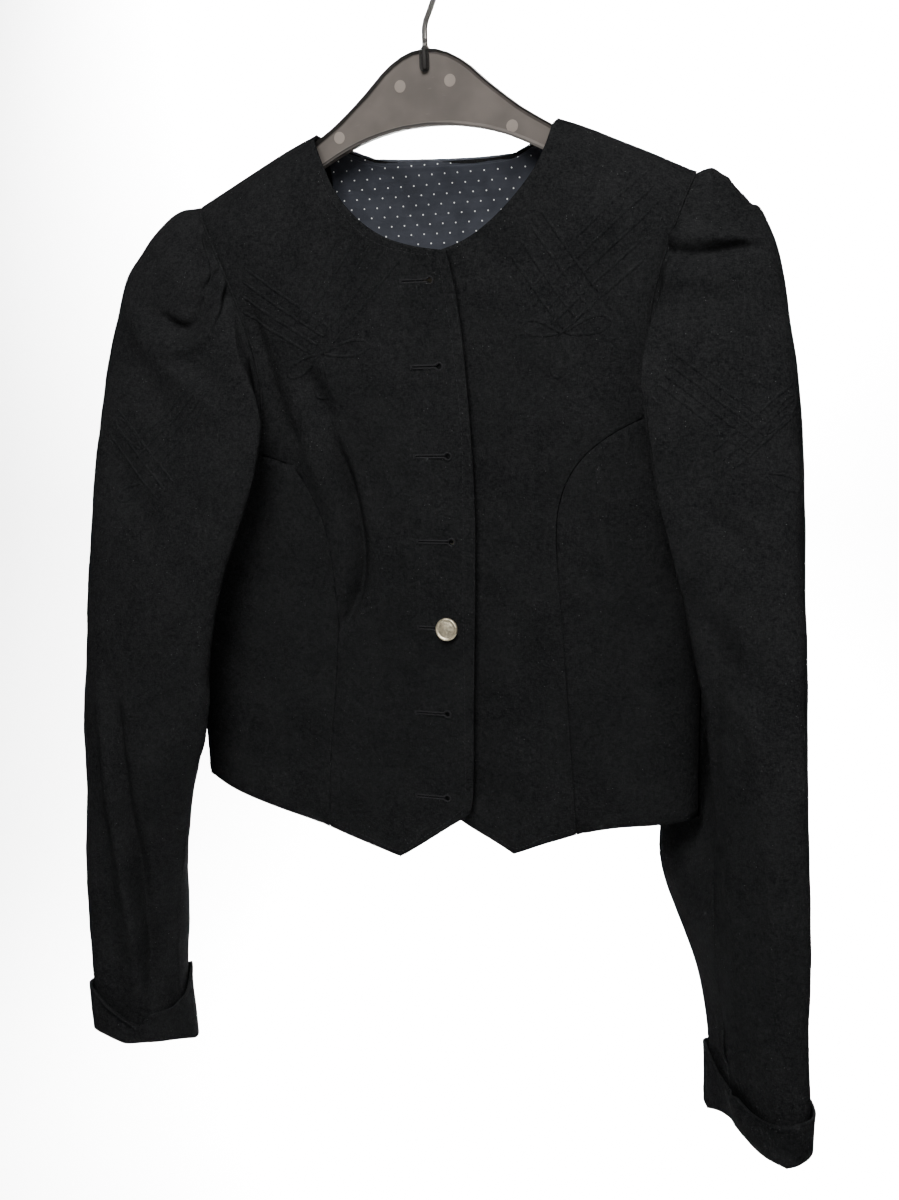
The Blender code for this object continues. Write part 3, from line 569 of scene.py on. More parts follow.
def turned(profile: Iterable[tuple[float, float]], steps: int) -> BMesh:
    """A shape turned about Z.

    Args:
        profile: Its outline as (radius, height) in millimetres, which starts and ends on the axis.
        steps: How many steps a full turn has.

    Returns:
        The shape.
    """
    bm = bmesh.new()
    made = [bm.verts.new((radius * MM, 0, height * MM)) for radius, height in profile]
    edges = [bm.edges.new(pair) for pair in zip(made, made[1:])]
    full = 2 * math.pi
    bmesh.ops.spin(
        bm, geom=made + edges, cent=(0, 0, 0), axis=(0, 0, 1), angle=full, steps=steps, use_merge=True
    )
    bmesh.ops.remove_doubles(bm, verts=bm.verts, dist=FINE_MERGE)
    bmesh.ops.recalc_face_normals(bm, faces=bm.faces)
    return bm


def rounded_line(points: Sequence[Vector], step: float) -> list[Vector]:
    """Even points on a smooth curve.

    Args:
        points: Points that the curve passes through.
        step: The distance between two results, in metres.

    Returns:
        The points, first and last as given.
    """
    cuts = 12
    dense = [points[0]]
    for i in range(len(points) - 1):
        a, b = points[i], points[i + 1]
        before = points[i - 1] if i else 2 * a - b
        after = points[i + 2] if i + 2 < len(points) else 2 * b - a
        for k in range(1, cuts + 1):
            f = k / cuts
            f2, f3 = f * f, f * f * f
            dense.append(
                a * (2 * f3 - 3 * f2 + 1)
                + (b - before) / 2 * (f3 - 2 * f2 + f)
                + b * (3 * f2 - 2 * f3)
                + (after - a) / 2 * (f3 - f2)
            )
    lengths = np.cumsum([0.0] + [(b - a).length for a, b in zip(dense, dense[1:])])
    count = max(int(round(lengths[-1] / step)), 1)
    wanted = np.linspace(0, lengths[-1], count + 1)
    columns = rows_of(dense).T
    return [Vector(row) for row in np.stack([np.interp(wanted, lengths, column) for column in columns], 1)]


class Laid(NamedTuple):
    """A point on a surface, and the surface's normal there."""

    point: Vector
    normal: Vector


class Surface:
    """The outer side of finished cloth pieces, which other pieces are laid on.

    A face is outer where it faces out by more than facing. A ray starts stand_back before its point.
    """

    facing: float = 0.25
    stand_back: float = 0.1

    def __init__(self, pieces: Sequence[Object], outward: Callable) -> None:
        """Reads the outer faces of some pieces.

        Args:
            pieces: The cloth pieces.
            outward: A function from points to the directions that face out of the garment.
        """
        corners: list[Vector] = []
        faces: list[list[int]] = []
        for piece in pieces:
            mesh = piece.data
            first = len(corners)
            corners += [vertex.co.copy() for vertex in mesh.vertices]
            centres = rows_of(face.center for face in mesh.polygons)
            normals = rows_of(face.normal for face in mesh.polygons)
            outer = (outward(centres) * normals).sum(1) > self.facing
            faces += [[first + k for k in face.vertices] for face, kept in zip(mesh.polygons, outer) if kept]
        self.tree = BVHTree.FromPolygons(corners, faces)

    def nearest(self, point: Vector) -> Laid:
        """The nearest place on the surface."""
        found, normal, _, _ = self.tree.find_nearest(point)
        return Laid(found, normal)

    def under(self, point: Vector, aim: Vector) -> Laid:
        """The place that a straight line through a point meets first.

        Args:
            point: The point.
            aim: The line's direction.

        Returns:
            The place met, or the nearest one where the line misses.
        """
        found, normal, _, _ = self.tree.ray_cast(point - aim * self.stand_back, aim)
        return self.nearest(point) if found is None else Laid(found, normal)

    def laid(self, line: Sequence[Point], step: float) -> list[Laid]:
        """A smooth line laid on the surface.

        Args:
            line: Points of the tables that it passes near.
            step: The distance between two results, in millimetres.

        Returns:
            The places along it.
        """
        return [self.nearest(point) for point in rounded_line([at(*row) for row in line], step * MM)]


def grid_of(columns: int, rows: int) -> tuple[BMesh, list[list[BMVert]]]:
    """A flat grid to be bent into shape.

    Args:
        columns: Steps across.
        rows: Steps along.

    Returns:
        The bmesh, and its vertices by row and column.
    """
    bm = bmesh.new()
    made = bmesh.ops.create_grid(bm, x_segments=columns, y_segments=rows, size=1)["verts"]
    table: list[list] = [[None] * (columns + 1) for _ in range(rows + 1)]
    for vertex in made:
        column = round((vertex.co.x + 1) / 2 * columns)
        row = round((vertex.co.y + 1) / 2 * rows)
        table[row][column] = vertex
    return bm, table


def swept(rail: Sequence[Laid], profile: Sequence[tuple[float, float]], taper: int = 2) -> BMesh:
    """A closed strand along places on a surface.

    Args:
        rail: The places.
        profile: The section's corners as (across, up) in millimetres, anticlockwise from outside.
        taper: How many places at each end narrow to a rounded tip.

    Returns:
        The strand.
    """
    corners = len(profile)
    bm, table = grid_of(corners, len(rail) - 1)
    for i, (row, place) in enumerate(zip(table, rail)):
        before, after = rail[max(i - 1, 0)].point, rail[min(i + 1, len(rail) - 1)].point
        along = (after - before).normalized()
        across = along.cross(place.normal).normalized()
        end = min(i, len(rail) - 1 - i)
        scale = math.sin(min(end / taper, 1) * math.pi / 2) if taper else 1.0
        for k, vertex in enumerate(row):
            u, v = profile[k % corners]
            vertex.co = place.point + (across * u + place.normal * v) * (scale * MM)
    bmesh.ops.remove_doubles(bm, verts=bm.verts, dist=FINE_MERGE)
    bmesh.ops.holes_fill(bm, edges=bm.edges, sides=corners)
    bmesh.ops.recalc_face_normals(bm, faces=bm.faces)
    return bm


def joined(parts: Iterable[BMesh]) -> BMesh:
    """Several bmeshes as one; the parts are freed.

    Args:
        parts: The bmeshes.

    Returns:
        The one bmesh.
    """
    whole = bmesh.new()
    scratch = bpy.data.meshes.new("scratch")
    for part in parts:
        part.to_mesh(scratch)
        part.free()
        whole.from_mesh(scratch)
    bpy.data.meshes.remove(scratch)
    return whole


def piece_of(bm: BMesh, name: str, material: Material) -> Object:
    """A finished piece from a bmesh, which is freed."""
    return dressed(mesh_of(bm, name), name, material)


def dressed(mesh: Mesh, name: str, material: Material) -> Object:
    """A finished piece that rides on the jacket's body.

    Args:
        mesh: The mesh.
        name: The piece's name.
        material: Its material.

    Returns:
        The piece.
    """
    mesh.name = name
    mesh.materials.clear()
    mesh.materials.append(material)
    mesh.shade_smooth()
    piece = placed(name, mesh)
    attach(piece, BODY)
    log.info("%s: %d faces", name, len(mesh.polygons))
    return piece


def repeated(shape: BMesh, places: Sequence[Matrix]) -> Mesh:
    """One mesh with a small shape at many places.

    Args:
        shape: The shape, which is freed.
        places: Its places.

    Returns:
        The mesh.
    """
    shape.verts.index_update()
    corners = rows_of(vertex.co for vertex in shape.verts)
    faces = [[vertex.index for vertex in face.verts] for face in shape.faces]
    shape.free()
    moved = [corners @ np.array(place.to_3x3()).T + np.array(place.translation) for place in places]
    every = [[k + i * len(corners) for k in face] for i in range(len(places)) for face in faces]
    mesh = bpy.data.meshes.new("repeated")
    mesh.from_pydata(np.concatenate(moved).tolist(), [], every)
    return mesh


def stitch_shape() -> BMesh:
    """One stitch: a small rounded bead of unit half sizes, long in X.

    Returns:
        The stitch.
    """
    bm = bmesh.new()
    bmesh.ops.create_uvsphere(bm, u_segments=6, v_segments=4, radius=1)
    bmesh.ops.rotate(bm, verts=bm.verts, cent=(0, 0, 0), matrix=Matrix.Rotation(math.pi / 2, 3, "Y"))
    return bm


class Stitch(NamedTuple):
    """A stitch's length, its thickness, and how far its middle stands off the cloth."""

    length: float
    thick: float
    lift: float

    def at(self, place: Laid, along: Vector) -> Matrix:
        """The matrix that takes the unit stitch to a place, turned along a direction.

        Args:
            place: The middle of the stitch, on the cloth.
            along: The direction.

        Returns:
            The matrix.
        """
        along = (along - place.normal * along.dot(place.normal)).normalized()
        across = place.normal.cross(along)
        half = self.thick / 2 * MM
        sides = Matrix((along * (self.length / 2 * MM), across * half, place.normal * half))
        return Matrix.Translation(place.point + place.normal * (self.lift * MM)) @ sides.transposed().to_4x4()


# ---- Cloth ----


class Crease(NamedTuple):
    """A trough in the cloth, or a ridge where its depth is negative, along a smooth line.

    Where sharp is 0 it is rounded, and where it is 1 it has straight sides and a fine bottom.
    """

    depth: float
    half_width: float
    line: Line
    sharp: float = 0.0


class Ripple(NamedTuple):
    """A broad, slight unevenness of the cloth: its height, waves per metre on each axis, and phase."""

    height: float
    waves: Point
    phase: float


def solids_of(nodes: Iterable[str]) -> BVHTree:
    """The search tree of some nodes' solids.

    Args:
        nodes: The nodes.

    Returns:
        The tree.
    """
    corners: list[Vector] = []
    faces: list[list[int]] = []
    for name in nodes:
        mesh = PIECES[name].data
        first = len(corners)
        corners += [vertex.co.copy() for vertex in mesh.vertices]
        faces += [[first + k for k in face.vertices] for face in mesh.polygons]
    return BVHTree.FromPolygons(corners, faces)


@dataclass
class Drape:
    """How one hollow of the garment falls: its creases, and which way is out.

    A point's way out is read from an ellipse round an axis, so both sides of a wall move together.
    Nearer to a seam than held it stays as it is, and further away than free it moves fully.
    """

    creases: tuple[Crease, ...]
    ripples: tuple[Ripple, ...]
    levels: np.ndarray
    centres: np.ndarray
    sewn_to: BVHTree
    flatness: float = 1.0
    sags: tuple[Crease, ...] = ()
    held: float = 0.5
    free: float = 2.8

    @staticmethod
    def along(nodes: Sequence[str], others: Sequence[str], flatness: float, **tables: tuple) -> "Drape":
        """The drape of a hollow whose axis runs through the middle of some nodes.

        Args:
            nodes: The nodes round the hollow.
            others: The nodes that it is sewn to, where it stays as it is.
            flatness: How many times wider than deep the hollow is.
            tables: Its creases, ripples and sags.

        Returns:
            The drape.
        """
        cuts, reach = 14, 45 * MM
        points = rows_of(v.co for name in nodes for v in PIECES[name].data.vertices)
        levels = np.linspace(points[:, 2].min(), points[:, 2].max(), cuts)
        middles = []
        for level in levels:
            near = points[abs(points[:, 2] - level) < reach]
            middles.append((near.min(0) + near.max(0)) / 2)
        centres = np.array(middles)[:, :2]
        sewn_to = solids_of(others)
        return Drape(levels=levels, centres=centres, sewn_to=sewn_to, flatness=flatness, **tables)

    def outward(self, points: np.ndarray) -> np.ndarray:
        """The way out at each point, as unit vectors.

        Args:
            points: The points.

        Returns:
            One vector for each.
        """
        x = points[:, 0] - np.interp(points[:, 2], self.levels, self.centres[:, 0])
        y = points[:, 1] - np.interp(points[:, 2], self.levels, self.centres[:, 1])
        out = np.stack([x / self.flatness**2, y, np.zeros(len(points))], 1)
        return out / np.maximum(np.linalg.norm(out, axis=1, keepdims=True), 1e-9)

    def lift(self, points: np.ndarray) -> np.ndarray:
        """How far each point moves out, in metres, where no seam holds it.

        Args:
            points: The points.

        Returns:
            One distance for each.
        """
        moved = -sunk(points, self.creases)
        for ripple in self.ripples:
            phase = points @ (np.array(ripple.waves) * 2 * math.pi) + ripple.phase
            moved += ripple.height * MM * np.sin(phase)
        return moved

    def settle(self, mesh: Mesh) -> None:
        """Moves a mesh's points to where the drape takes them.

        Args:
            mesh: The mesh.
        """
        flat = np.empty(len(mesh.vertices) * 3)
        mesh.vertices.foreach_get("co", flat)
        points = flat.reshape(-1, 3)
        away = np.array([self.sewn_to.find_nearest(Vector(point))[3] for point in points])
        free = np.clip((away / MM - self.held) / (self.free - self.held), 0, 1)
        free = free * free * (3 - 2 * free)
        moved = points + self.outward(points) * (self.lift(points) * free)[:, None]
        moved[:, 2] -= sunk(points, self.sags) * free
        mesh.vertices.foreach_set("co", moved.ravel())
        mesh.update()


def sunk(points: np.ndarray, creases: Iterable[Crease]) -> np.ndarray:
    """How deep some creases are at each point, in metres.

    Args:
        points: The points.
        creases: The creases.

    Returns:
        One depth for each point.
    """
    depth, step = np.zeros(len(points)), 6 * MM
    for crease in creases:
        line = rows_of(rounded_line([at(*row) for row in crease.line], step))
        depth += crease.depth * MM * trough(points, line, crease.half_width * MM, crease.sharp)
    return depth


def trough(points: np.ndarray, line: np.ndarray, half_width: float, sharp: float) -> np.ndarray:
    """The depth of a trough, which rises a little on both sides and fades at its ends.

    Args:
        points: Where the depth is wanted.
        line: Points along the trough's bottom.
        half_width: Half its width.
        sharp: How far its bottom is a fine line, from 0 to 1.

    Returns:
        The depth at each point, from 1 at the bottom.
    """
    lip, lip_width, steep, fade_rate, end_depth = 0.35, 5, 1.7, 3, 0.12
    starts, ends = line[:-1], line[1:]
    runs = ends - starts
    best = np.full(len(points), np.inf)
    place = np.zeros(len(points))
    for i, (start, run) in enumerate(zip(starts, runs)):
        f = np.clip((points - start) @ run / (run @ run), 0, 1)
        away = np.linalg.norm(points - start - f[:, None] * run, axis=1)
        nearer = away < best
        best = np.where(nearer, away, best)
        place = np.where(nearer, (i + f) / len(runs), place)
    r2 = (best / half_width) ** 2
    rounded = (1 + lip) * np.exp(-r2) - lip * np.exp(-r2 / lip_width)
    shape = rounded * (1 - sharp) + np.exp(-steep * np.sqrt(r2)) * sharp
    fade = np.sin(np.clip(np.minimum(place, 1 - place) * fade_rate + end_depth, 0, 1) * math.pi / 2)
    return shape * fade


@dataclass
class Panel:
    """One cut piece of cloth, rounded from its solid and settled into its drape.

    It is subdivided levels times. Its rims bend by more than rim_bend and stay as crisp as rim, and the
    corners of its outline, between rims longer than rim_length, bend by more than corner_bend.
    """

    node: str
    flat: tuple[float, float]
    area: float
    levels: int = 2
    rests_on: tuple[str, ...] = ("hanger",)
    rim: float = 0.6
    rim_bend: float = 50.0
    rim_length: float = 3.2
    corner_bend: float = 28.0

    def rounded(self) -> Mesh:
        """The solid's wall with its loose triangles joined, smoothed, and with softly rounded rims.

        Returns:
            The mesh.
        """
        bm = solid_of(self.node)
        flat, square = math.radians(40), math.radians(80)
        bmesh.ops.join_triangles(bm, faces=bm.faces, angle_face_threshold=flat, angle_shape_threshold=square)
        sharp = bm.edges.layers.float.new("crease_edge")
        for edge in bm.edges:
            if len(edge.link_faces) == 2 and edge.calc_face_angle(0) > math.radians(self.rim_bend):
                edge[sharp] = self.rim
        corner = bm.verts.layers.float.new("crease_vert")
        for vertex in bm.verts:
            rims = [e for e in vertex.link_edges if e[sharp] > 0 and e.calc_length() > self.rim_length * MM]
            ways = [edge.other_vert(vertex).co - vertex.co for edge in rims]
            if len(ways) == 2 and math.degrees(ways[0].angle(ways[1])) < 180 - self.corner_bend:
                vertex[corner] = 1.0
        cage = mesh_of(bm, "cage")
        holder = placed("cage", cage)
        smoother = holder.modifiers.new("smoother", "SUBSURF")
        smoother.levels = smoother.render_levels = self.levels
        graph = bpy.context.evaluated_depsgraph_get()
        mesh = bpy.data.meshes.new_from_object(holder.evaluated_get(graph))
        bpy.data.objects.remove(holder)
        bpy.data.meshes.remove(cage)
        return mesh

    def build(self, drape: Drape, material: Material, slot: Slot = Slot.LODEN) -> Object:
        """Args:
            drape: How it falls.
            material: Its material.
            slot: The record's finish that it is from; not used.

        Returns:
            The piece.
        """
        mesh = self.rounded()
        drape.settle(mesh)
        piece = dressed(mesh, f"{self.node}_cloth", material)
        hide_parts(self.node)
        return piece


BODY_RIPPLES = (
    Ripple(0.45, (7.1, 2.0, 4.3), 0.4),
    Ripple(0.35, (-11.3, 3.0, 8.9), 2.1),
    Ripple(0.22, (19.7, 4.0, -12.1), 4.4),
    Ripple(0.14, (23.0, 0.0, 27.0), 1.3),
)
SLEEVE_RIPPLES = (
    Ripple(0.55, (9.1, 13.0, 5.3), 0.9),
    Ripple(0.40, (-13.3, 9.0, 9.9), 3.1),
    Ripple(0.26, (21.7, 17.0, -14.1), 5.4),
    Ripple(0.14, (29.0, 11.0, 31.0), 0.3),
)

BODY_CREASES = (
    Crease(3.4, 8, ((-84, -33, 150), (-76, -33, 168), (-68, -34, 190))),
    Crease(8.4, 5.6, ((-68, -34, 192), (-60, -35, 218), (-54, -35, 240), (-50, -35, 270), (-53, -35, 296),
                      (-63, -34, 319), (-74, -33, 336)), 0.3),
    Crease(-4.2, 12, ((-92, -33, 168), (-83, -34, 199), (-74, -34, 230), (-66, -34, 262), (-69, -34, 300))),
    Crease(-2.0, 9, ((-48, -35, 215), (-39, -36, 245), (-36, -36, 275), (-40, -35, 300))),
    Crease(1.8, 16, ((-62, -34, 175), (-46, -37, 215), (-36, -38, 262), (-40, -37, 305))),
    Crease(1.8, 8, ((-72, -34, 336), (-78, -33, 380), (-80, -32, 440)), 0.5),
    Crease(1.6, 12, ((-20, -34, 300), (-40, -34, 345), (-52, -33, 400))),
    Crease(-1.5, 16, ((-22, -34, 380), (-40, -33, 420), (-60, -32, 470))),
    Crease(2.2, 9, ((100, -32, 196), (110, -33, 240), (112, -33, 290), (106, -33, 340)), 0.3),
    Crease(-1.8, 14, ((88, -33, 140), (100, -33, 178), (100, -33, 224))),
    Crease(1.4, 12, ((60, -33, 240), (66, -33, 300), (64, -32, 370))),
    Crease(-1.4, 14, ((76, -33, 300), (84, -33, 360), (80, -32, 420))),
    Crease(1.6, 10, ((128, -31, 250), (136, -29, 330), (130, -28, 430))),
    Crease(3.2, 6, ((-128, -29, 100), (-118, -31, 128), (-112, -32, 152), (-110, -32, 182),
                    (-112, -32, 212)), 0.5),
    Crease(2.0, 7, ((-112, -31, 150), (-106, -33, 168), (-98, -33, 188), (-88, -33, 208)), 0.4),
    Crease(-1.5, 9, ((-126, -30, 150), (-116, -32, 182), (-106, -33, 214))),
    Crease(1.5, 9, ((-130, -30, 262), (-122, -30, 340), (-128, -28, 430))),
    Crease(1.6, 9, ((-60, -24, 34), (-78, -26, 50), (-100, -27, 66))),
    Crease(1.4, 8, ((88, -20, 30), (104, -24, 46), (122, -24, 60))),
    Crease(2.2, 11, ((-120, 26, 120), (-100, 28, 190), (-92, 29, 290)), 0.3),
    Crease(2.0, 12, ((128, 26, 115), (104, 28, 185), (98, 29, 280)), 0.3),
    Crease(1.6, 16, ((-40, 29, 60), (-30, 30, 150), (-34, 29, 260))),
    Crease(-1.5, 15, ((40, 29, 90), (48, 30, 200), (44, 29, 330))),
    Crease(1.4, 14, ((6, 29, 250), (10, 29, 340), (4, 28, 430))),
    Crease(1.8, 12, ((-70, 28, 330), (-64, 28, 400), (-70, 28, 450))),
    Crease(1.5, 12, ((80, 28, 350), (86, 28, 410), (84, 28, 450))),
    Crease(-1.6, 12, ((-112, 27, 250), (-118, 27, 330), (-112, 27, 420))),
)

RIGHT_CREASES = (
    Crease(-5.5, 14, ((-162, -59, 366), (-165, -60, 388), (-169, -60, 408), (-173, -60, 424)), 0.3),
    Crease(6.5, 5, ((-144, -31, 93), (-154, -34, 104), (-156, -38, 114), (-166, -39, 122), (-180, -37, 120),
                    (-194, -33, 111)), 0.5),
    Crease(-4.5, 7, ((-141, -33, 104), (-148, -40, 119), (-160, -42, 132), (-177, -41, 135),
                     (-194, -38, 129)), 0.3),
    Crease(-2.6, 8, ((-154, -26, 78), (-165, -32, 91), (-178, -35, 104))),
    Crease(5.2, 3.2, ((-161, -17, 58), (-156, -23, 69), (-151, -28, 79), (-152, -31, 90)), 0.5),
    Crease(-2.0, 3, ((-150, -22, 66), (-147, -26, 78))),
    Crease(5.2, 3.2, ((-142, -26, 79), (-146, -28, 86), (-151, -31, 92), (-158, -33, 98)), 0.5),
    Crease(-2.2, 3.2, ((-140, -28, 88), (-145, -32, 97), (-147, -35, 106))),
    Crease(4.8, 3.2, ((-137, -28, 94), (-140, -31, 103), (-142, -36, 114), (-147, -40, 124)), 0.5),
    Crease(-4.5, 13, ((-224, -20, 94), (-208, -35, 124), (-176, -45, 152), (-150, -52, 172),
                      (-136, -57, 192)), 0.8),
    Crease(2.6, 13, ((-230, -28, 122), (-208, -44, 152), (-180, -54, 182), (-156, -60, 208))),
    Crease(-3.0, 10, ((-206, -19, 76), (-222, -12, 86), (-234, -6, 102)), 0.5),
    Crease(2.2, 12, ((-235, -34, 190), (-220, -50, 225), (-196, -60, 262)), 0.3),
    Crease(-1.8, 14, ((-158, -60, 190), (-176, -64, 250), (-196, -68, 300))),
    Crease(2.4, 9, ((-168, -70, 322), (-190, -72, 345), (-216, -70, 366), (-240, -62, 378)), 0.3),
    Crease(-2.0, 9, ((-176, -70, 352), (-205, -74, 378), (-240, -66, 398)), 0.3),
    Crease(2.0, 8, ((-190, -68, 396), (-212, -74, 420), (-238, -74, 446)), 0.3),
    Crease(-5.6, 8, ((-246, -71, 366), (-240, -77, 406), (-237, -80, 439), (-232, -82, 506), (-229, -82, 559),
                     (-231, -81, 600), (-232, -81, 614)), 0.3),
    Crease(9.0, 7.5, ((-236, -74, 366), (-232, -77, 406), (-228, -78, 439), (-223, -79, 506),
                      (-219.5, -78, 559), (-220.5, -78, 598), (-221, -78, 612)), 0.2),
    Crease(1.6, 12, ((-214, -74, 440), (-212, -73, 500), (-210, -72, 560), (-211, -72, 606))),
    Crease(1.6, 8, ((-248, -80, 500), (-249, -81, 556), (-247, -82, 606))),
    Crease(2.2, 12, ((-220, 30, 170), (-228, 26, 240), (-236, 16, 320)), 0.3),
    Crease(2.4, 9, ((-240, 10, 350), (-232, 6, 390), (-220, 0, 424)), 0.3),
    Crease(-2.0, 11, ((-236, 4, 400), (-244, -2, 460), (-244, -10, 520)), 0.3),
    Crease(2.2, 7, ((-170, 38, 90), (-196, 38, 126), (-214, 34, 160)), 0.3),
    Crease(2.6, 5, ((-160, 30, 66), (-176, 34, 84), (-190, 34, 102)), 0.4),
    Crease(-2.4, 3.5, ((-264, -87, 611), (-252, -88, 619), (-240, -86, 627), (-232, -84, 634))),
    Crease(-2.0, 4, ((-224, -80, 624), (-214, -72, 620), (-210, -64, 618))),
    Crease(1.5, 7, ((-262, -84, 636), (-256, -84, 644), (-250, -84, 652)), 0.3),
)

LEFT_CREASES = (
    Crease(5.5, 4.2, ((153, -25, 86), (161, -27, 89), (174, -30, 91), (187, -28, 90), (198, -26, 88),
                     (208, -22, 88), (215, -18, 90)), 0.5),
    Crease(-4.6, 6, ((158, -24, 79), (174, -26, 79), (188, -25, 80), (205, -22, 83), (216, -19, 88)), 0.3),
    Crease(-2.6, 8, ((154, -30, 99), (172, -34, 103), (190, -33, 104), (208, -28, 101))),
    Crease(3.0, 3.5, ((178, -3, 42), (182, -6, 47), (186, -11, 54), (189, -15, 63)), 0.5),
    Crease(2.0, 4, ((160, -16, 56), (167, -20, 64), (176, -22, 70)), 0.4),
    Crease(2.4, 9, ((156, -50, 128), (164, -52, 160), (160, -56, 200)), 0.3),
    Crease(-2.0, 13, ((196, -46, 130), (204, -50, 190), (210, -54, 250)), 0.4),
    Crease(2.2, 9, ((182, -58, 236), (204, -58, 256), (228, -52, 270)), 0.3),
    Crease(2.2, 10, ((186, -62, 300), (206, -68, 330), (232, -66, 352)), 0.3),
    Crease(-2.0, 11, ((196, -66, 340), (218, -74, 370), (244, -70, 388)), 0.3),
    Crease(3.4, 7, ((197, -67, 316), (196, -68, 354), (195, -65, 392), (196, -64, 432), (198, -58, 489),
                    (202, -60, 543)), 0.4),
    Crease(-3.0, 10, ((206, -63, 268), (212, -69, 315), (219, -74, 362), (224, -79, 411), (230, -84, 472),
                      (235, -87, 536), (238, -88, 592)), 0.7),
    Crease(2.2, 8, ((244, -80, 420), (250, -84, 500), (252, -84, 590))),
    Crease(1.8, 7, ((214, -74, 560), (222, -82, 590), (232, -87, 616))),
    Crease(2.2, 12, ((206, 34, 160), (218, 30, 230), (224, 24, 310)), 0.3),
    Crease(2.4, 9, ((180, 40, 380), (204, 30, 400), (224, 20, 420)), 0.3),
    Crease(-2.0, 11, ((214, 22, 420), (218, 12, 480), (220, -2, 540)), 0.3),
    Crease(2.2, 7, ((168, 36, 80), (186, 40, 120), (200, 40, 160)), 0.3),
    Crease(2.0, 8, ((160, 36, 400), (176, 28, 450), (184, 14, 500)), 0.3),
    Crease(-12.5, 16, ((178, 20, 290), (172, 30, 340), (162, 34, 385), (150, 34, 425), (141, 30, 460),
                       (140, 26, 486)), 0.2),
    Crease(-6.5, 13, ((181, 12, 320), (174, 22, 350), (168, 26, 380), (160, 28, 405)), 0.2),
    Crease(-2.6, 3.5, ((203, -56, 598), (205, -61, 612), (207, -64, 624), (211, -67, 642)), 0.4),
    Crease(2.6, 3.2, ((198, -54, 602), (200, -58, 616), (203, -61, 634)), 0.4),
    Crease(-2.2, 4, ((212, -67, 617), (226, -82, 619), (241, -93, 618), (252, -91, 619))),
    Crease(-2.0, 4, ((196, -48, 602), (186, -28, 592), (184, -20, 590))),
    Crease(1.6, 7, ((222, -82, 634), (236, -92, 636), (248, -92, 638)), 0.3),
)

LEFT_SAGS = (
    Crease(4.5, 8, ((205, -16, 62), (207, -7, 57), (207, 4, 57))),
    Crease(7.2, 12, ((197, -22, 54), (198, -9, 47), (199, 2, 46), (199, 16, 50))),
    Crease(-1.6, 6, ((181, -8, 43), (182, -1, 41), (183, 8, 42))),
)

BODY_NODES = ("front_right", "front_left", "side_front_right", "side_front_left", "back")
SLEEVE_NODES = ("upper_sleeve_right", "under_sleeve_right", "upper_sleeve_left", "under_sleeve_left")
BODY_PANELS = (
    Panel("front_right", (0.20, 0.50), 0.0600, levels=3),
    Panel("front_left", (0.20, 0.50), 0.0560, levels=3),
    Panel("side_front_right", (0.125, 0.28), 0.0285),
    Panel("side_front_left", (0.12, 0.28), 0.0235),
    Panel("back", (0.40, 0.48), 0.157),
)


# ---- Seams and the neck's edge ----


@dataclass
class Seam:
    """The rolled allowance inside a seam, which closes the thin gap between two pieces.

    The walls are no further apart than reach. Points of the first are told apart to 1/grain mm, those
    within pair of each other are one place of the seam, and a gap over jump starts a new line.
    """

    name: str
    first: tuple[str, ...]
    second: tuple[str, ...]
    radius: float = 0.98
    reach: float = 0.9
    pair: float = 2.9
    grain: int = 20
    jump: float = 50.0
    step: float = 3.0

    def middles(self) -> list[Vector]:
        """Points in the middle of the seam: halfway across the gap, and through the wall.

        Returns:
            The points.
        """
        others = solids_of(self.second)
        found: dict[tuple, Vector] = {}
        for node in self.first:
            for vertex in PIECES[node].data.vertices:
                near, _, _, away = others.find_nearest(vertex.co)
                if away < self.reach * MM:
                    found[tuple(round(c / MM * self.grain) for c in vertex.co)] = (vertex.co + near) / 2
        left = list(found.values())
        middles = []
        while left:
            start = left.pop()
            group = [start] + [point for point in left if (point - start).length < self.pair * MM]
            left = [point for point in left if (point - start).length >= self.pair * MM]
            middles.append(sum(group, Vector()) / len(group))
        return middles

    def lines(self) -> list[list[Vector]]:
        """The seam's middles in order, as one line or several.

        Returns:
            The lines.
        """
        left = self.middles()
        centre = sum(left, Vector()) / len(left)
        lines = []
        while left:
            here = max(left, key=lambda point: (point - centre).length)
            left.remove(here)
            line = [here]
            while left:
                after = min(left, key=lambda point: (point - line[-1]).length)
                if (after - line[-1]).length > self.jump * MM:
                    break
                left.remove(after)
                line.append(after)
            if len(line) > 2 and (line[0] - line[-1]).length < self.jump / 2 * MM:
                line.append(line[0])
            if len(line) > 2:
                lines.append(line)
        return lines

    def build(self, drape: Drape, material: Material) -> None:
        """Makes the roll.

        Args:
            drape: How the pieces fall.
            material: The cloth.
        """
        rolls = []
        for line in self.lines():
            even = rounded_line(line, self.step * MM)
            rail = [Laid(point, Vector(way)) for point, way in zip(even, drape.outward(rows_of(even)))]
            rolls.append(swept(rail, ring(self.radius, 8)))
        piece = piece_of(joined(rolls), self.name, material)
        drape.settle(piece.data)


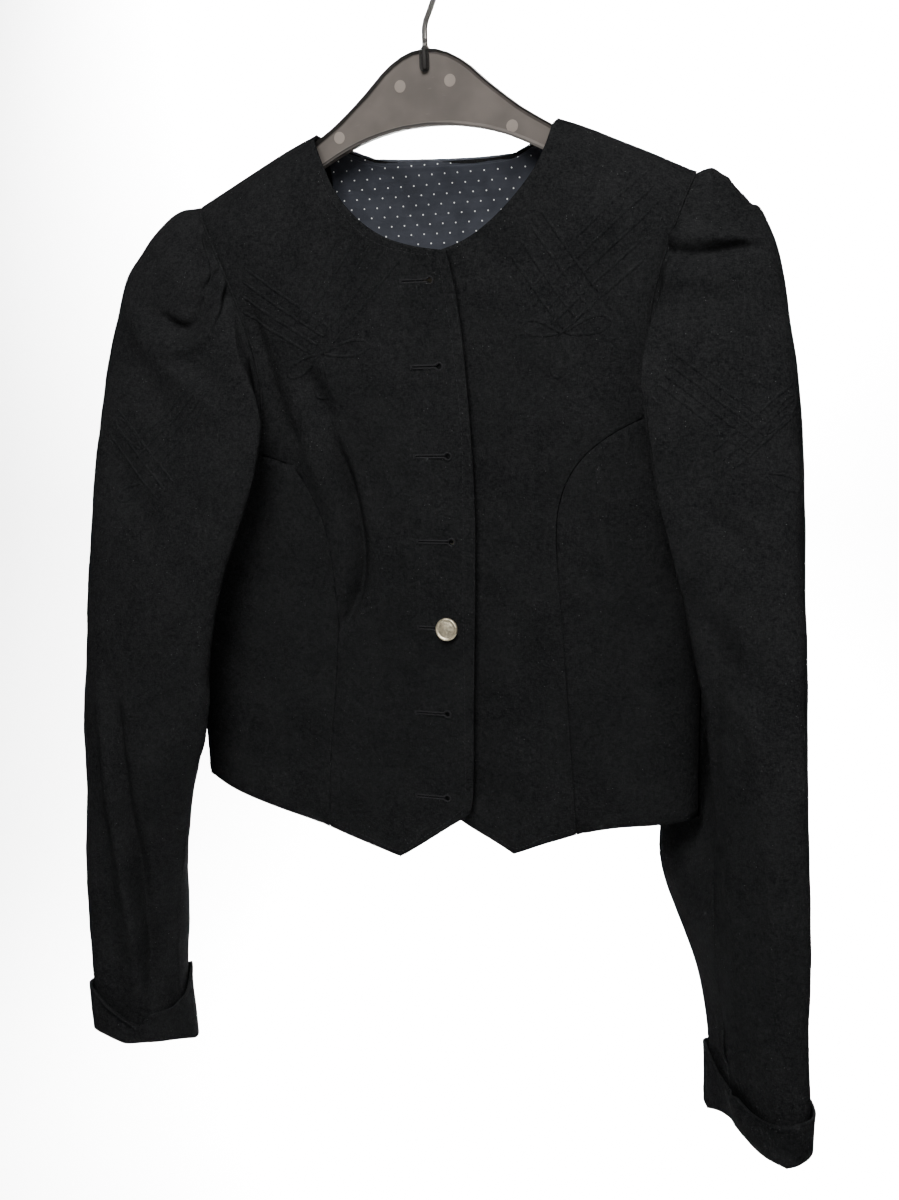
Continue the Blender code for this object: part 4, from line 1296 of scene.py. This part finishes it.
@dataclass
class NeckFacing:
    """The top of the lining, from the back neck's edge down behind the rest of it, with a piped edge."""

    first_x: float = -66.0
    last_x: float = 74.0
    highest: float = 3.0
    lowest: float = 40.0
    step: float = 3.0
    rows: int = 5
    depth: float = 12.0
    stand: float = 0.5
    thickness: float = 0.35
    piping: float = 1.2
    piping_place: Point = (0, 0.35, 0.45)

    def places(self) -> list[Vector]:
        """Points along the inside of the back neck's edge.

        Returns:
            The points, from first_x to last_x.
        """
        back = solids_of(("back",))
        places = []
        for k in range(int((self.last_x - self.first_x) / self.step) + 1):
            x = self.first_x + k * self.step
            for drop in np.arange(self.highest, self.lowest, 0.2):
                met = back.ray_cast(at(x, 2, drop), AHEAD, 60 * MM)[0]
                if met is not None:
                    places.append(met)
                    break
        return places

    def build(self, lining: Material, piping: Material) -> None:
        """Makes the facing and its piping.

        Args:
            lining: The lining's material.
            piping: The piping's material.
        """
        edge = self.places()
        back = solids_of(("back",))
        bm, table = grid_of(len(edge) - 1, self.rows)
        for j, row in enumerate(table):
            for vertex, top in zip(row, edge):
                level = top - Vector((0, 0, self.depth * MM * j / self.rows + 0.1 * MM))
                met = back.ray_cast(Vector((level.x, 2 * MM, level.z)), AHEAD, 60 * MM)[0] or level
                vertex.co = met - Vector((0, self.stand * MM, 0))
        bmesh.ops.recalc_face_normals(bm, faces=bm.faces)
        bmesh.ops.reverse_faces(bm, faces=[face for face in bm.faces if face.normal.y > 0])
        bmesh.ops.solidify(bm, geom=bm.faces, thickness=-self.thickness * MM)
        bmesh.ops.recalc_face_normals(bm, faces=bm.faces)
        piece_of(bm, "neck_facing", lining)
        rail = [Laid(point + Vector(self.piping_place) * MM, -AHEAD) for point in edge]
        piece_of(swept(rail, ring(self.piping, 8)), "neck_piping", piping)


PRESSED_ROLL = 0.5
SEAMS = (
    ("princess_right", ("side_front_right",), ("front_right",)),
    ("princess_left", ("side_front_left",), ("front_left",)),
    ("side_seam_right", ("side_front_right",), ("back",)),
    ("side_seam_left", ("side_front_left",), ("back",)),
    ("shoulder_seam_right", ("front_right",), ("back",)),
    ("shoulder_seam_left", ("front_left",), ("back",)),
)


# ---- The corded tucks ----


LEAF = ((0.35, 0.7), (0.7, 1.0), (0.93, 0.65), (1.0, 0.0), (0.93, -0.65), (0.7, -1.0), (0.35, -0.7))


def band(first: tuple[Point, Point], last: tuple[Point, Point], count: int) -> list[Line]:
    """Parallel tucks.

    Args:
        first: The ends of the first tuck.
        last: The ends of the last one.
        count: How many there are.

    Returns:
        The tucks' lines.
    """
    tucks = []
    for k in range(count):
        f = k / (count - 1)
        start = Vector(first[0]).lerp(Vector(last[0]), f)
        end = Vector(first[1]).lerp(Vector(last[1]), f)
        tucks.append((tuple(start), tuple(start.lerp(end, 0.5)), tuple(end)))
    return tucks


def loop(root: Point, tip: Point, width: float) -> Line:
    """A leaf-shaped loop of cord in the plane of the front.

    Args:
        root: Where it starts and ends.
        tip: Its far end.
        width: Its width at the widest, in millimetres.

    Returns:
        The loop's line.
    """
    start, end = Vector(root), Vector(tip)
    run = end - start
    across = Vector((-run.z, 0, run.x)).normalized() * (width / 2)
    sides = [start + run * f + across * w for f, w in LEAF]
    return tuple(tuple(point) for point in (start, *sides, start))


LEFT_CHEST = (
    band(((150, -10, 37), (97, -31, 84)), ((147, -26, 91), (118, -30, 114)), 5)
    + band(((82, -31, 58), (118, -31, 110)), ((62, -31, 84), (96, -32, 132)), 4)
    + band(((97, -31, 84), (75, -32, 107)), ((118, -30, 114), (92, -32, 136)), 5)
    + [
        loop((94, -32, 134), (70, -33, 128), 9),
        loop((96, -32, 134), (125, -30, 127), 10),
        loop((94, -32, 137), (92, -33, 161), 10),
    ]
)
RIGHT_CHEST = (
    band(((-52, -32, 64), (-88, -32, 118)), ((-8, -35, 82), (-62, -34, 136)), 5)
    + band(((-126, -28, 84), (-62, -34, 126)), ((-134, -28, 110), (-78, -33, 142)), 4)
    + [
        loop((-70, -34, 142), (-35, -37, 137), 10),
        loop((-72, -33, 142), (-96, -32, 156), 9),
        loop((-70, -34, 146), (-72, -34, 172), 11),
    ]
)
LEFT_SLEEVE_TUCKS = (
    band(((166, -46, 146), (229, -44, 194)), ((158, -50, 164), (214, -50, 208)), 4)
    + band(((192, -50, 206), (236, -34, 166)), ((204, -52, 216), (240, -38, 182)), 3)
    + [loop((222, -52, 218), (241, -46, 228), 9), loop((222, -50, 196), (238, -36, 174), 9)]
)
RIGHT_SLEEVE_TUCKS = (
    band(((-150, -52, 150), (-214, -44, 204)), ((-144, -56, 168), (-198, -52, 222)), 4)
    + band(((-176, -54, 226), (-226, -34, 176)), ((-190, -56, 238), (-234, -34, 194)), 3)
    + [loop((-204, -54, 226), (-226, -44, 240), 9), loop((-204, -50, 204), (-226, -34, 184), 9)]
)


@dataclass
class CordedTucks:
    """Fine ridges of cord under the cloth, in a lattice that ends in leaf-shaped loops."""

    name: str
    tucks: Sequence[Line]
    half_width: float = 1.5
    height: float = 0.42
    buried: float = 0.25
    step: float = 2.5

    def build(self, surface: Surface, material: Material) -> None:
        """Lays the ridges on the cloth.

        Args:
            surface: The cloth.
            material: The cloth's material.
        """
        w, h = self.half_width, self.height
        side = ((w, -self.buried), (w * 0.62, h * 0.34), (w * 0.28, h * 0.86))
        profile = (*side, (0, h), *((-u, v) for u, v in reversed(side)), (0, -2 * self.buried))
        ridges = [swept(surface.laid(line, self.step), profile) for line in self.tucks]
        piece_of(joined(ridges), self.name, material)


# ---- Stitching ----

RIGHT_EDGE = ((17, -38, 84), (27, -38, 174), (27, -38, 240), (21, -37, 375), (18.5, -35, 446))
RIGHT_NECK = ((-69, -18, 25), (-57, -29, 46), (-32, -34, 70), (-5, -36, 80), (14, -37, 83))
RIGHT_HEM = (
    (18, -35, 452),
    (7, -35, 462),
    (-11, -34, 475),
    (-33, -34, 490),
    (-61, -33, 483),
    (-87, -33, 475),
)
LEFT_HEM = ((30, -32, 471), (50, -32, 481), (73, -32, 470), (96, -32, 461))


@dataclass
class Topstitch:
    """A line of machine stitches along an edge."""

    name: str
    line: Line
    pitch: float = 3.1
    stitch: Stitch = Stitch(2.2, 0.42, 0.02)

    def build(self, surface: Surface, thread: Material) -> None:
        """Sews the stitches.

        Args:
            surface: The cloth.
            thread: The thread.
        """
        rail = surface.laid(self.line, self.pitch)
        places = [
            self.stitch.at(place, after.point - before.point)
            for before, place, after in zip(rail, rail[1:], rail[2:])
        ]
        dressed(repeated(stitch_shape(), places), self.name, thread)


class Keyhole(NamedTuple):
    """A buttonhole: x of its plain end and of its round end, and its drop."""

    plain_x: float
    round_x: float
    drop: float


KEYHOLES = (
    Keyhole(-11, 10, 98),
    Keyhole(-6, 14, 152),
    Keyhole(-6, 18, 209.5),
    Keyhole(-7, 18, 266),
    Keyhole(-10, 12, 325),
    Keyhole(-16, 8, 386),
    Keyhole(-19, 5, 447),
)
CLOSED = (True, True)
LIPS = {1: (False, False), 4: (True, False), 5: (True, False)}


@dataclass
class Buttonhole:
    """The corded, whipped edge of a keyhole buttonhole and the bar tack at its plain end.

    Its lips say whether cloth closes the slit, and whether it closes the round end.
    """

    name: str
    hole: Keyhole
    lips: tuple[bool, bool] = CLOSED
    opening: float = 0.45
    round_radius: float = 2.0
    cord: float = 0.42
    cord_lift: float = 0.15
    cord_start: float = 1.2
    cord_pitch: float = 1.1
    whip: Stitch = Stitch(2.1, 0.36, 0.25)
    whip_pitch: float = 0.8
    tack: Stitch = Stitch(3.8, 0.42, 0.3)
    tack_start: float = 0.2
    tack_count: int = 4
    lip_depth: float = 1.6
    lip_thickness: float = 0.5

    def close(self, plane: Matrix, half: float, cloth: Material) -> None:
        """The cloth's own lips, which close the slit and the round end from behind.

        Args:
            plane: The buttonhole's own frame.
            half: Half the slit's length.
            cloth: The jacket's cloth.
        """
        slit, round_end = self.lips
        parts = []
        if slit:
            bm = bmesh.new()
            sides = Vector((2 * half + 0.6, 4 * self.cord, self.lip_thickness)) * MM
            bmesh.ops.create_cube(bm, size=1.0)
            bmesh.ops.scale(bm, verts=bm.verts, vec=sides)
            parts.append(bm)
        if round_end:
            bm = bmesh.new()
            radius = (self.round_radius + self.cord) * MM
            depth = self.lip_thickness * 1.1 * MM
            bmesh.ops.create_cone(bm, cap_ends=True, segments=24, radius1=radius, radius2=radius, depth=depth)
            bmesh.ops.translate(bm, verts=bm.verts, vec=(half * MM, 0, 0))
            parts.append(bm)
        if not parts:
            return
        whole = joined(parts)
        bmesh.ops.translate(whole, verts=whole.verts, vec=(0, 0, -self.lip_depth * MM))
        bmesh.ops.transform(whole, verts=whole.verts, matrix=plane)
        piece_of(whole, f"{self.name}_lips", cloth)

    def outline(self, half: float) -> list[tuple[float, float]]:
        """The line of the cord round the hole.

        Args:
            half: Half the slit's length.

        Returns:
            Its points as (across, up), from the plain end's upper side to its lower side.
        """
        edge, bend, turns = self.opening + self.cord, self.round_radius + self.cord, 14
        straight = int((2 * half - bend - self.cord_start) / self.cord_pitch)
        upper = [(-half + self.cord_start + k * self.cord_pitch, edge) for k in range(straight)]
        start = math.asin(edge / bend)
        angles = [math.pi - start - (2 * math.pi - 2 * start) * k / turns for k in range(turns + 1)]
        eye = [(half + bend * math.cos(angle), bend * math.sin(angle)) for angle in angles]
        return upper + eye + [(u, -v) for u, v in reversed(upper)]

    def plane(self, surface: Surface) -> tuple[Vector, Vector, Vector, Vector]:
        """The buttonhole's own plane.

        Args:
            surface: The right front.

        Returns:
            Its middle, and its ways across, up and out.
        """
        middle = (self.hole.plain_x + self.hole.round_x) / 2
        around = [
            surface.under(at(x, IN_FRONT, self.hole.drop + rise), AHEAD)
            for x in (self.hole.plain_x - 3, middle, self.hole.round_x + 5)
            for rise in (-4, 4)
        ]
        centre = sum((place.point for place in around), Vector()) / len(around)
        normal = sum((place.normal for place in around), Vector()).normalized()
        across = Vector((1, 0, 0))
        across = (across - normal * across.dot(normal)).normalized()
        up = normal.cross(across)
        level = at(middle, centre.y / MM, self.hole.drop)
        centre += up * (level - centre).dot(up) + across * (level - centre).dot(across)
        return centre, across, up, normal

    def build(self, surface: Surface, thread: Material, cloth: Material) -> None:
        """Sews the buttonhole.

        Args:
            surface: The right front.
            thread: The thread.
            cloth: The jacket's cloth.
        """
        centre, across, up, normal = self.plane(surface)
        half = (self.hole.round_x - self.hole.plain_x) / 2
        turn = Matrix((across, up, normal)).transposed().to_4x4()
        self.close(Matrix.Translation(centre) @ turn, half, cloth)

        def spot(u: float, v: float) -> Laid:
            """A place in the buttonhole's own plane."""
            return Laid(centre + (across * u + up * v) * MM, normal)

        rail = [spot(u, v) for u, v in self.outline(half)]
        cord = swept(rail, ring(self.cord, 6, self.cord_lift), taper=1)
        even = rounded_line([place.point for place in rail], self.whip_pitch * MM)
        stitches = [
            self.whip.at(Laid(here, normal), (after - before).normalized().cross(normal))
            for before, here, after in zip(even, even[1:], even[2:])
        ]
        for k in range(self.tack_count):
            stitches.append(self.tack.at(spot(-half + self.tack_start + k * self.tack.thick, 0), up))
        sewn = repeated(stitch_shape(), stitches)
        cord.from_mesh(sewn)
        bpy.data.meshes.remove(sewn)
        piece_of(cord, self.name, thread)


# ---- Buttons ----


@dataclass
class Button:
    """A cast pewter button with a raised rim, a groove and a low domed middle."""

    node: str
    profile: tuple[tuple[float, float], ...] = (
        (0.0, -1.7),
        (5.6, -1.7),
        (7.0, -1.35),
        (7.6, -0.5),
        (7.75, 0.4),
        (7.55, 1.15),
        (7.1, 1.55),
        (6.6, 1.6),
        (6.2, 1.3),
        (5.95, 0.95),
        (5.5, 0.95),
        (4.6, 1.2),
        (3.0, 1.5),
        (1.4, 1.66),
        (0.0, 1.7),
    )
    steps: int = 40

    def build(self, pewter: Material) -> None:
        """Turns the button and puts it where its solid is.

        Args:
            pewter: Its material.
        """
        solid = PIECES[self.node].data
        points = rows_of(vertex.co for vertex in solid.vertices)
        front = max(solid.polygons, key=lambda face: face.area * -face.normal.y)
        axis = front.normal.copy()
        sides = points - points.mean(0)
        reach = np.linalg.norm(sides - np.outer(sides @ np.array(axis), np.array(axis)), axis=1)
        disc = points[reach > 0.8 * reach.max()]
        centre = Vector((disc.min(0) + disc.max(0)) / 2)
        bm = turned(self.profile, self.steps)
        turn = axis.to_track_quat("Z", "Y").to_matrix().to_4x4()
        bmesh.ops.transform(bm, matrix=Matrix.Translation(centre) @ turn, verts=bm.verts)
        piece = piece_of(bm, f"{self.node}_pewter", pewter)
        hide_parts(self.node)


# ---- The hanger ----


class Disc(NamedTuple):
    """A moulded disc on the hanger's face."""

    x: float
    drop: float


@dataclass
class Hanger:
    """The moulded hanger: rounded edges, four ejector discs, the hook's socket and the wire hook.

    Edges that bend by more than hard_bend are rounded. The socket's piece, dark with painted shade, starts at
    socket_back behind the front face, and its hollow is inside a lip.
    """

    plastic: Material
    pale: Material
    dark: Material
    steel: Material
    discs: tuple[Disc, ...] = (Disc(-18, -25), Disc(16.4, -25.5), Disc(-63, 3), Disc(57, 5.5))
    disc_radius: float = 4.0
    disc_height: float = 0.12
    hard_bend: float = 60.0
    edge_round: float = 0.7
    thickness: float = 7.0
    slot_half: float = 3.0
    slot_top: float = -42.6
    slot_bottom: float = -35.0
    socket_back: float = 2.2
    socket_height: float = 2.3
    socket_lip: float = 0.7
    socket_hollow: float = 1.6
    pin_radius: float = 1.75
    pin_longer: float = 2.4
    pin_back: float = 1.4
    pin_foot: float = 0.6
    collar: tuple[tuple[float, float], ...] = (
        (0.0, -1.0),
        (3.3, -1.0),
        (3.1, 0.6),
        (1.9, 2.2),
        (1.25, 4.6),
        (0.0, 4.9),
    )
    collar_foot: float = -45.8

    def body(self) -> Object:
        """The hanger with its edges rounded.

        Returns:
            The piece.
        """
        bm = solid_of("hanger")
        nearly_flat = math.radians(1.0)
        bmesh.ops.dissolve_limit(
            bm, angle_limit=nearly_flat, verts=bm.verts, edges=bm.edges, use_dissolve_boundaries=False
        )
        hard = math.radians(self.hard_bend)
        edges = [e for e in bm.edges if len(e.link_faces) == 2 and e.calc_face_angle(0) > hard]
        bmesh.ops.bevel(
            bm,
            geom=edges,
            offset=self.edge_round * MM,
            offset_type="OFFSET",
            segments=3,
            profile=0.5,
            affect="EDGES",
            clamp_overlap=True,
            material=-1,
        )
        piece = piece_of(bm, "hanger_body", self.plastic)
        piece.data.set_sharp_from_angle(angle=math.radians(14))
        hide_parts("hanger")
        return piece

    def marks(self, body: Object) -> None:
        """The four discs, each a low round boss on the front face of the hanger's body.

        Args:
            body: The hanger's body.
        """
        shape = bmesh.new()
        shape.from_mesh(body.data)
        face = BVHTree.FromBMesh(shape)
        shape.free()
        parts = []
        for disc in self.discs:
            bm = bmesh.new()
            bmesh.ops.create_cone(
                bm,
                cap_ends=True,
                segments=28,
                radius1=self.disc_radius * MM,
                radius2=self.disc_radius * 0.93 * MM,
                depth=2 * self.disc_height * MM,
            )
            bmesh.ops.rotate(bm, verts=bm.verts, cent=(0, 0, 0), matrix=Matrix.Rotation(math.pi / 2, 3, "X"))
            met = face.ray_cast(at(disc.x, IN_FRONT, disc.drop), AHEAD)[0]
            bmesh.ops.translate(bm, verts=bm.verts, vec=met)
            parts.append(bm)
        piece = piece_of(joined(parts), "hanger_discs", self.pale)
        piece.data.set_sharp_from_angle(angle=math.radians(30))

    def socket(self) -> None:
        """The round-ended socket under the hook, with a raised lip; its dark colour is painted shade for the
        depth of the slot.
        """
        depth = -self.thickness / 2 * MM
        rim = []
        turns = 8
        for end, sign in ((self.slot_top, -1), (self.slot_bottom, 1)):
            for k in range(turns + 1):
                angle = math.pi * k / turns
                x = math.cos(angle) * self.slot_half * -sign
                rim.append(at(x, 0, end + sign * math.sin(angle) * self.slot_half))
        bm = bmesh.new()
        made = [bm.verts.new((point.x, depth + self.socket_back * MM, point.z)) for point in rim]
        pushed = bmesh.ops.extrude_face_region(bm, geom=[bm.faces.new(made)])["geom"]
        moved = [v for v in pushed if isinstance(v, BMVert)]
        bmesh.ops.translate(bm, verts=moved, vec=(0, -self.socket_height * MM, 0))
        front = [f for f in pushed if isinstance(f, BMFace)]
        bmesh.ops.inset_region(bm, faces=front, thickness=self.socket_lip * MM, depth=0)
        bmesh.ops.translate(bm, verts=front[0].verts, vec=(0, self.socket_hollow * MM, 0))
        bmesh.ops.recalc_face_normals(bm, faces=bm.faces)
        piece_of(bm, "hook_socket", self.dark)

    def pin(self) -> None:
        """The round end of the hook's stem that shows in the socket."""
        length = self.slot_bottom - self.slot_top + self.pin_longer
        foot = at(0, -self.thickness / 2 + self.pin_back, self.slot_bottom + self.pin_foot)
        bm = bmesh.new()
        bmesh.ops.create_uvsphere(bm, u_segments=20, v_segments=12, radius=self.pin_radius * MM)
        upper = [vertex for vertex in bm.verts if vertex.co.z > FINE_MERGE]
        bmesh.ops.translate(bm, verts=upper, vec=(0, 0, length * MM))
        bmesh.ops.translate(bm, verts=bm.verts, vec=foot)
        piece_of(bm, "hook_pin", self.pale)

    def seat(self) -> None:
        """The small moulded collar that the wire stands in."""
        bm = turned(self.collar, 24)
        bmesh.ops.translate(bm, verts=bm.verts, vec=at(0, 0, self.collar_foot))
        piece_of(bm, "hook_collar", self.plastic)

    def hook(self) -> None:
        """The wire hook."""
        piece = piece_of(solid_of("hook"), "hook_wire", self.steel)
        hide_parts("hook")

    def build(self) -> None:
        """Builds the hanger and its hook."""
        self.marks(self.body())
        self.socket()
        self.pin()
        self.seat()
        self.hook()


# ---- The jacket ----


@dataclass
class Jacket:
    """All the cloth of the jacket, its sewing and its buttons."""

    loden: Material
    lining: Material
    piping: Material
    thread: Material
    pewter: Material
    body_flatness: float = 4.5
    upper_flat: tuple[float, float] = (0.27, 0.61)
    under_flat: tuple[float, float] = (0.16, 0.51)
    cuff_flat: tuple[float, float] = (0.05, 0.20)

    def build_body(self) -> tuple[Surface, Surface]:
        """The fronts, side fronts and back, and the lining that shows.

        Returns:
            The outer side of the fronts and side fronts, and that of the right front alone.
        """
        hollow = Drape.along(
            BODY_NODES, SLEEVE_NODES, self.body_flatness, creases=BODY_CREASES, ripples=BODY_RIPPLES
        )
        body = [panel.build(hollow, self.loden) for panel in BODY_PANELS]
        lining = Panel("back_lining", (0.17, 0.125), 0.0150, levels=3, rests_on=("back",))
        lining.build(hollow, self.lining, Slot.LINING)
        for name, first, second in SEAMS:
            Seam(name, first, second, radius=PRESSED_ROLL).build(hollow, self.loden)
        NeckFacing().build(self.lining, self.piping)
        return Surface(body[:4], hollow.outward), Surface(body[:1], hollow.outward)

    def build_sleeve(
        self,
        side: Side,
        areas: tuple[float, float, float],
        creases: tuple[Crease, ...],
        sags: tuple[Crease, ...],
    ) -> Surface:
        """One sleeve with its cuff.

        Args:
            side: Which sleeve.
            areas: The flat areas of the upper sleeve, the under sleeve and the cuff.
            creases: The sleeve's creases.
            sags: Where its head hangs down.

        Returns:
            The sleeve's outer side.
        """
        upper, under = f"upper_sleeve_{side.value}", f"under_sleeve_{side.value}"
        hung = (f"front_{side.value}", "back")
        hollow = Drape.along(
            (upper, under), BODY_NODES, 1.0, creases=creases, ripples=SLEEVE_RIPPLES, sags=sags
        )
        pieces = [
            Panel(upper, self.upper_flat, areas[0], levels=3, rests_on=hung).build(hollow, self.loden),
            Panel(under, self.under_flat, areas[1], rests_on=hung).build(hollow, self.loden),
        ]
        cuff = Panel(f"cuff_{side.value}", self.cuff_flat, areas[2], levels=3, rests_on=(upper,))
        cuff.build(hollow, self.loden)
        Seam(f"armhole_{side.value}", (upper, under), BODY_NODES).build(hollow, self.loden)
        Seam(f"sleeve_seams_{side.value}", (upper,), (under,)).build(hollow, self.loden)
        return Surface(pieces, hollow.outward)

    def build(self) -> None:
        """Builds the jacket."""
        chest, overlap = self.build_body()
        right = self.build_sleeve(Side.RIGHT, (0.115, 0.047, 0.0072), RIGHT_CREASES, ())
        left = self.build_sleeve(Side.LEFT, (0.115, 0.058, 0.0080), LEFT_CREASES, LEFT_SAGS)
        CordedTucks("tucks_right_chest", RIGHT_CHEST).build(chest, self.loden)
        CordedTucks("tucks_left_chest", LEFT_CHEST).build(chest, self.loden)
        CordedTucks("tucks_right_sleeve", RIGHT_SLEEVE_TUCKS).build(right, self.loden)
        CordedTucks("tucks_left_sleeve", LEFT_SLEEVE_TUCKS).build(left, self.loden)
        self.sew(chest, overlap)
        for k in range(1, len(KEYHOLES) + 1):
            Button(f"button_{k}").build(self.pewter)

    def sew(self, chest: Surface, overlap: Surface) -> None:
        """Adds the topstitching and the buttonholes.

        Args:
            chest: The outer side of the fronts.
            overlap: The outer side of the right front.
        """
        Topstitch("edge_topstitch", RIGHT_EDGE).build(overlap, self.thread)
        Topstitch("hem_topstitch_right", RIGHT_HEM).build(chest, self.thread)
        Topstitch("hem_topstitch_left", LEFT_HEM).build(chest, self.thread)
        Topstitch("neck_topstitch_right", RIGHT_NECK).build(chest, self.thread)
        for k, hole in enumerate(KEYHOLES, 1):
            lips = LIPS.get(k, CLOSED)
            Buttonhole(f"buttonhole_{k}", hole, lips).build(overlap, self.thread, self.loden)


# ---- Floor, light and camera ----


@dataclass
class Studio:
    """A pale floor with a soft sweep behind, soft light, and the camera."""

    azimuth: float = 21.3
    pitch: float = 12.37
    roll: float = -2.53
    distance: float = 0.916
    height: float = -0.231
    lens: float = 40.5
    floor_level: float = -2.1
    sky: float = 0.15

    def floor(self) -> None:
        """The floor, which curves up into a backdrop."""
        near, far, half_width, bend, rise, steps = -3.0, 2.0, 4.5, 1.2, 0.45, 8
        bm, table = grid_of(1, 3 * steps)
        for k, row in enumerate(table):
            if k < steps:
                y, z = near + (far - near) * k / steps, 0.0
            elif k <= 2 * steps:
                angle = math.pi / 2 * (k - steps) / steps
                y, z = far + bend * math.sin(angle), bend * (1 - math.cos(angle))
            else:
                y, z = far + bend, bend + (k - 2 * steps) * rise
            for vertex, x in zip(row, (-half_width, half_width)):
                vertex.co = (x, y, self.floor_level + z)
        shader = Shader("pale_floor")
        grain = shader.blend(shader.noise(60, 2, 0.5), (0.88, 0.88, 0.88), (0.91, 0.91, 0.91))
        mesh = mesh_of(bm, "floor")
        mesh.materials.append(shader.finish(base_color=grain, roughness=0.85))
        mesh.shade_smooth()
        placed("floor", mesh)

    def lamp(
        self,
        name: str,
        place: Point,
        size: float,
        power: float,
        aim: Point = (0, 0, -0.4),
        spread: float = 180,
    ) -> None:
        """A square soft light.

        Args:
            name: Its name.
            place: Where it stands, in metres.
            size: Its side, in metres.
            power: Its power, in watts.
            aim: What it points at.
            spread: The angle of its beam, in degrees.
        """
        light = bpy.data.lights.new(name, "AREA")
        light.size = size
        light.energy = power
        light.spread = math.radians(spread)
        stand = placed(name, light)
        stand.location = place
        stand.rotation_euler = (Vector(aim) - Vector(place)).to_track_quat("-Z", "Y").to_euler()

    def camera(self) -> None:
        """The camera, turned by azimuth, pitched down, and rolled."""
        turn, pitch, roll = (math.radians(a) for a in (self.azimuth, self.pitch, self.roll))
        place = Vector((math.sin(turn) * self.distance, -math.cos(turn) * self.distance, self.height))
        level = Vector((-math.sin(turn), math.cos(turn), 0)) * math.cos(pitch)
        forward = level - Vector((0, 0, math.sin(pitch)))
        right = Vector((math.cos(turn), math.sin(turn), 0))
        up = right.cross(forward)
        side = right * math.cos(roll) + up * math.sin(roll)
        top = up * math.cos(roll) - right * math.sin(roll)
        data = bpy.data.cameras.new("camera")
        data.lens = self.lens
        data.sensor_width = 36
        data.clip_end = 50
        camera = placed("camera", data)
        camera.matrix_world = Matrix.Translation(place) @ Matrix((side, top, -forward)).transposed().to_4x4()
        bpy.context.scene.camera = camera

    def build(self) -> None:
        """Sets the floor, the lights and the camera."""
        self.floor()
        self.lamp("key", (0.1, -1.25, 1.0), 0.9, 62)
        self.lamp("fill", (1.4, -1.0, 0.9), 1.6, 24)
        self.lamp("backdrop", (-0.9, 1.9, 1.5), 2.6, 1050, aim=(-0.9, 3.9, -0.5), spread=110)
        self.lamp("floor_light", (-0.4, 2.2, 1.6), 1.4, 330, aim=(-0.4, 1.9, -2.1), spread=60)
        world = bpy.data.worlds.new("studio")
        world.use_nodes = True
        background = world.node_tree.nodes["Background"]
        background.inputs["Color"].default_value = (0.95, 0.97, 1.0, 1.0)
        background.inputs["Strength"].default_value = self.sky
        bpy.context.scene.world = world
        self.camera()


def main() -> None:
    """Builds the jacket, the hanger and the studio."""
    logging.basicConfig(level=logging.INFO, format="%(message)s")
    Studio().build()
    loden = Loden().material()
    thread = Thread("black_thread", (0.0085, 0.0085, 0.0090)).material()
    # the piping's colours are lighter than the lining's: painted light on the neck edge, which the hanger
    # shades from the lamps
    piping = DottedLining("piping_painted_light", (0.085, 0.09, 0.105), (0.062, 0.066, 0.08)).material()
    Jacket(loden, DottedLining().material(), piping, thread, Pewter().material()).build()
    plastic = HangerPlastic("hanger_plastic", (0.104, 0.091, 0.081), (0.075, 0.066, 0.059)).material()
    pale = HangerPlastic("hanger_disc", (0.205, 0.176, 0.152), (0.165, 0.142, 0.123)).material()
    # the socket's dark colours are painted shade for the depth of the slot
    dark = HangerPlastic("hanger_socket_painted_shade", (0.030, 0.027, 0.025), (0.018, 0.016, 0.015)).material()
    Hanger(plastic, pale, dark, HookSteel().material()).build()


if __name__ == "__main__":
    main()
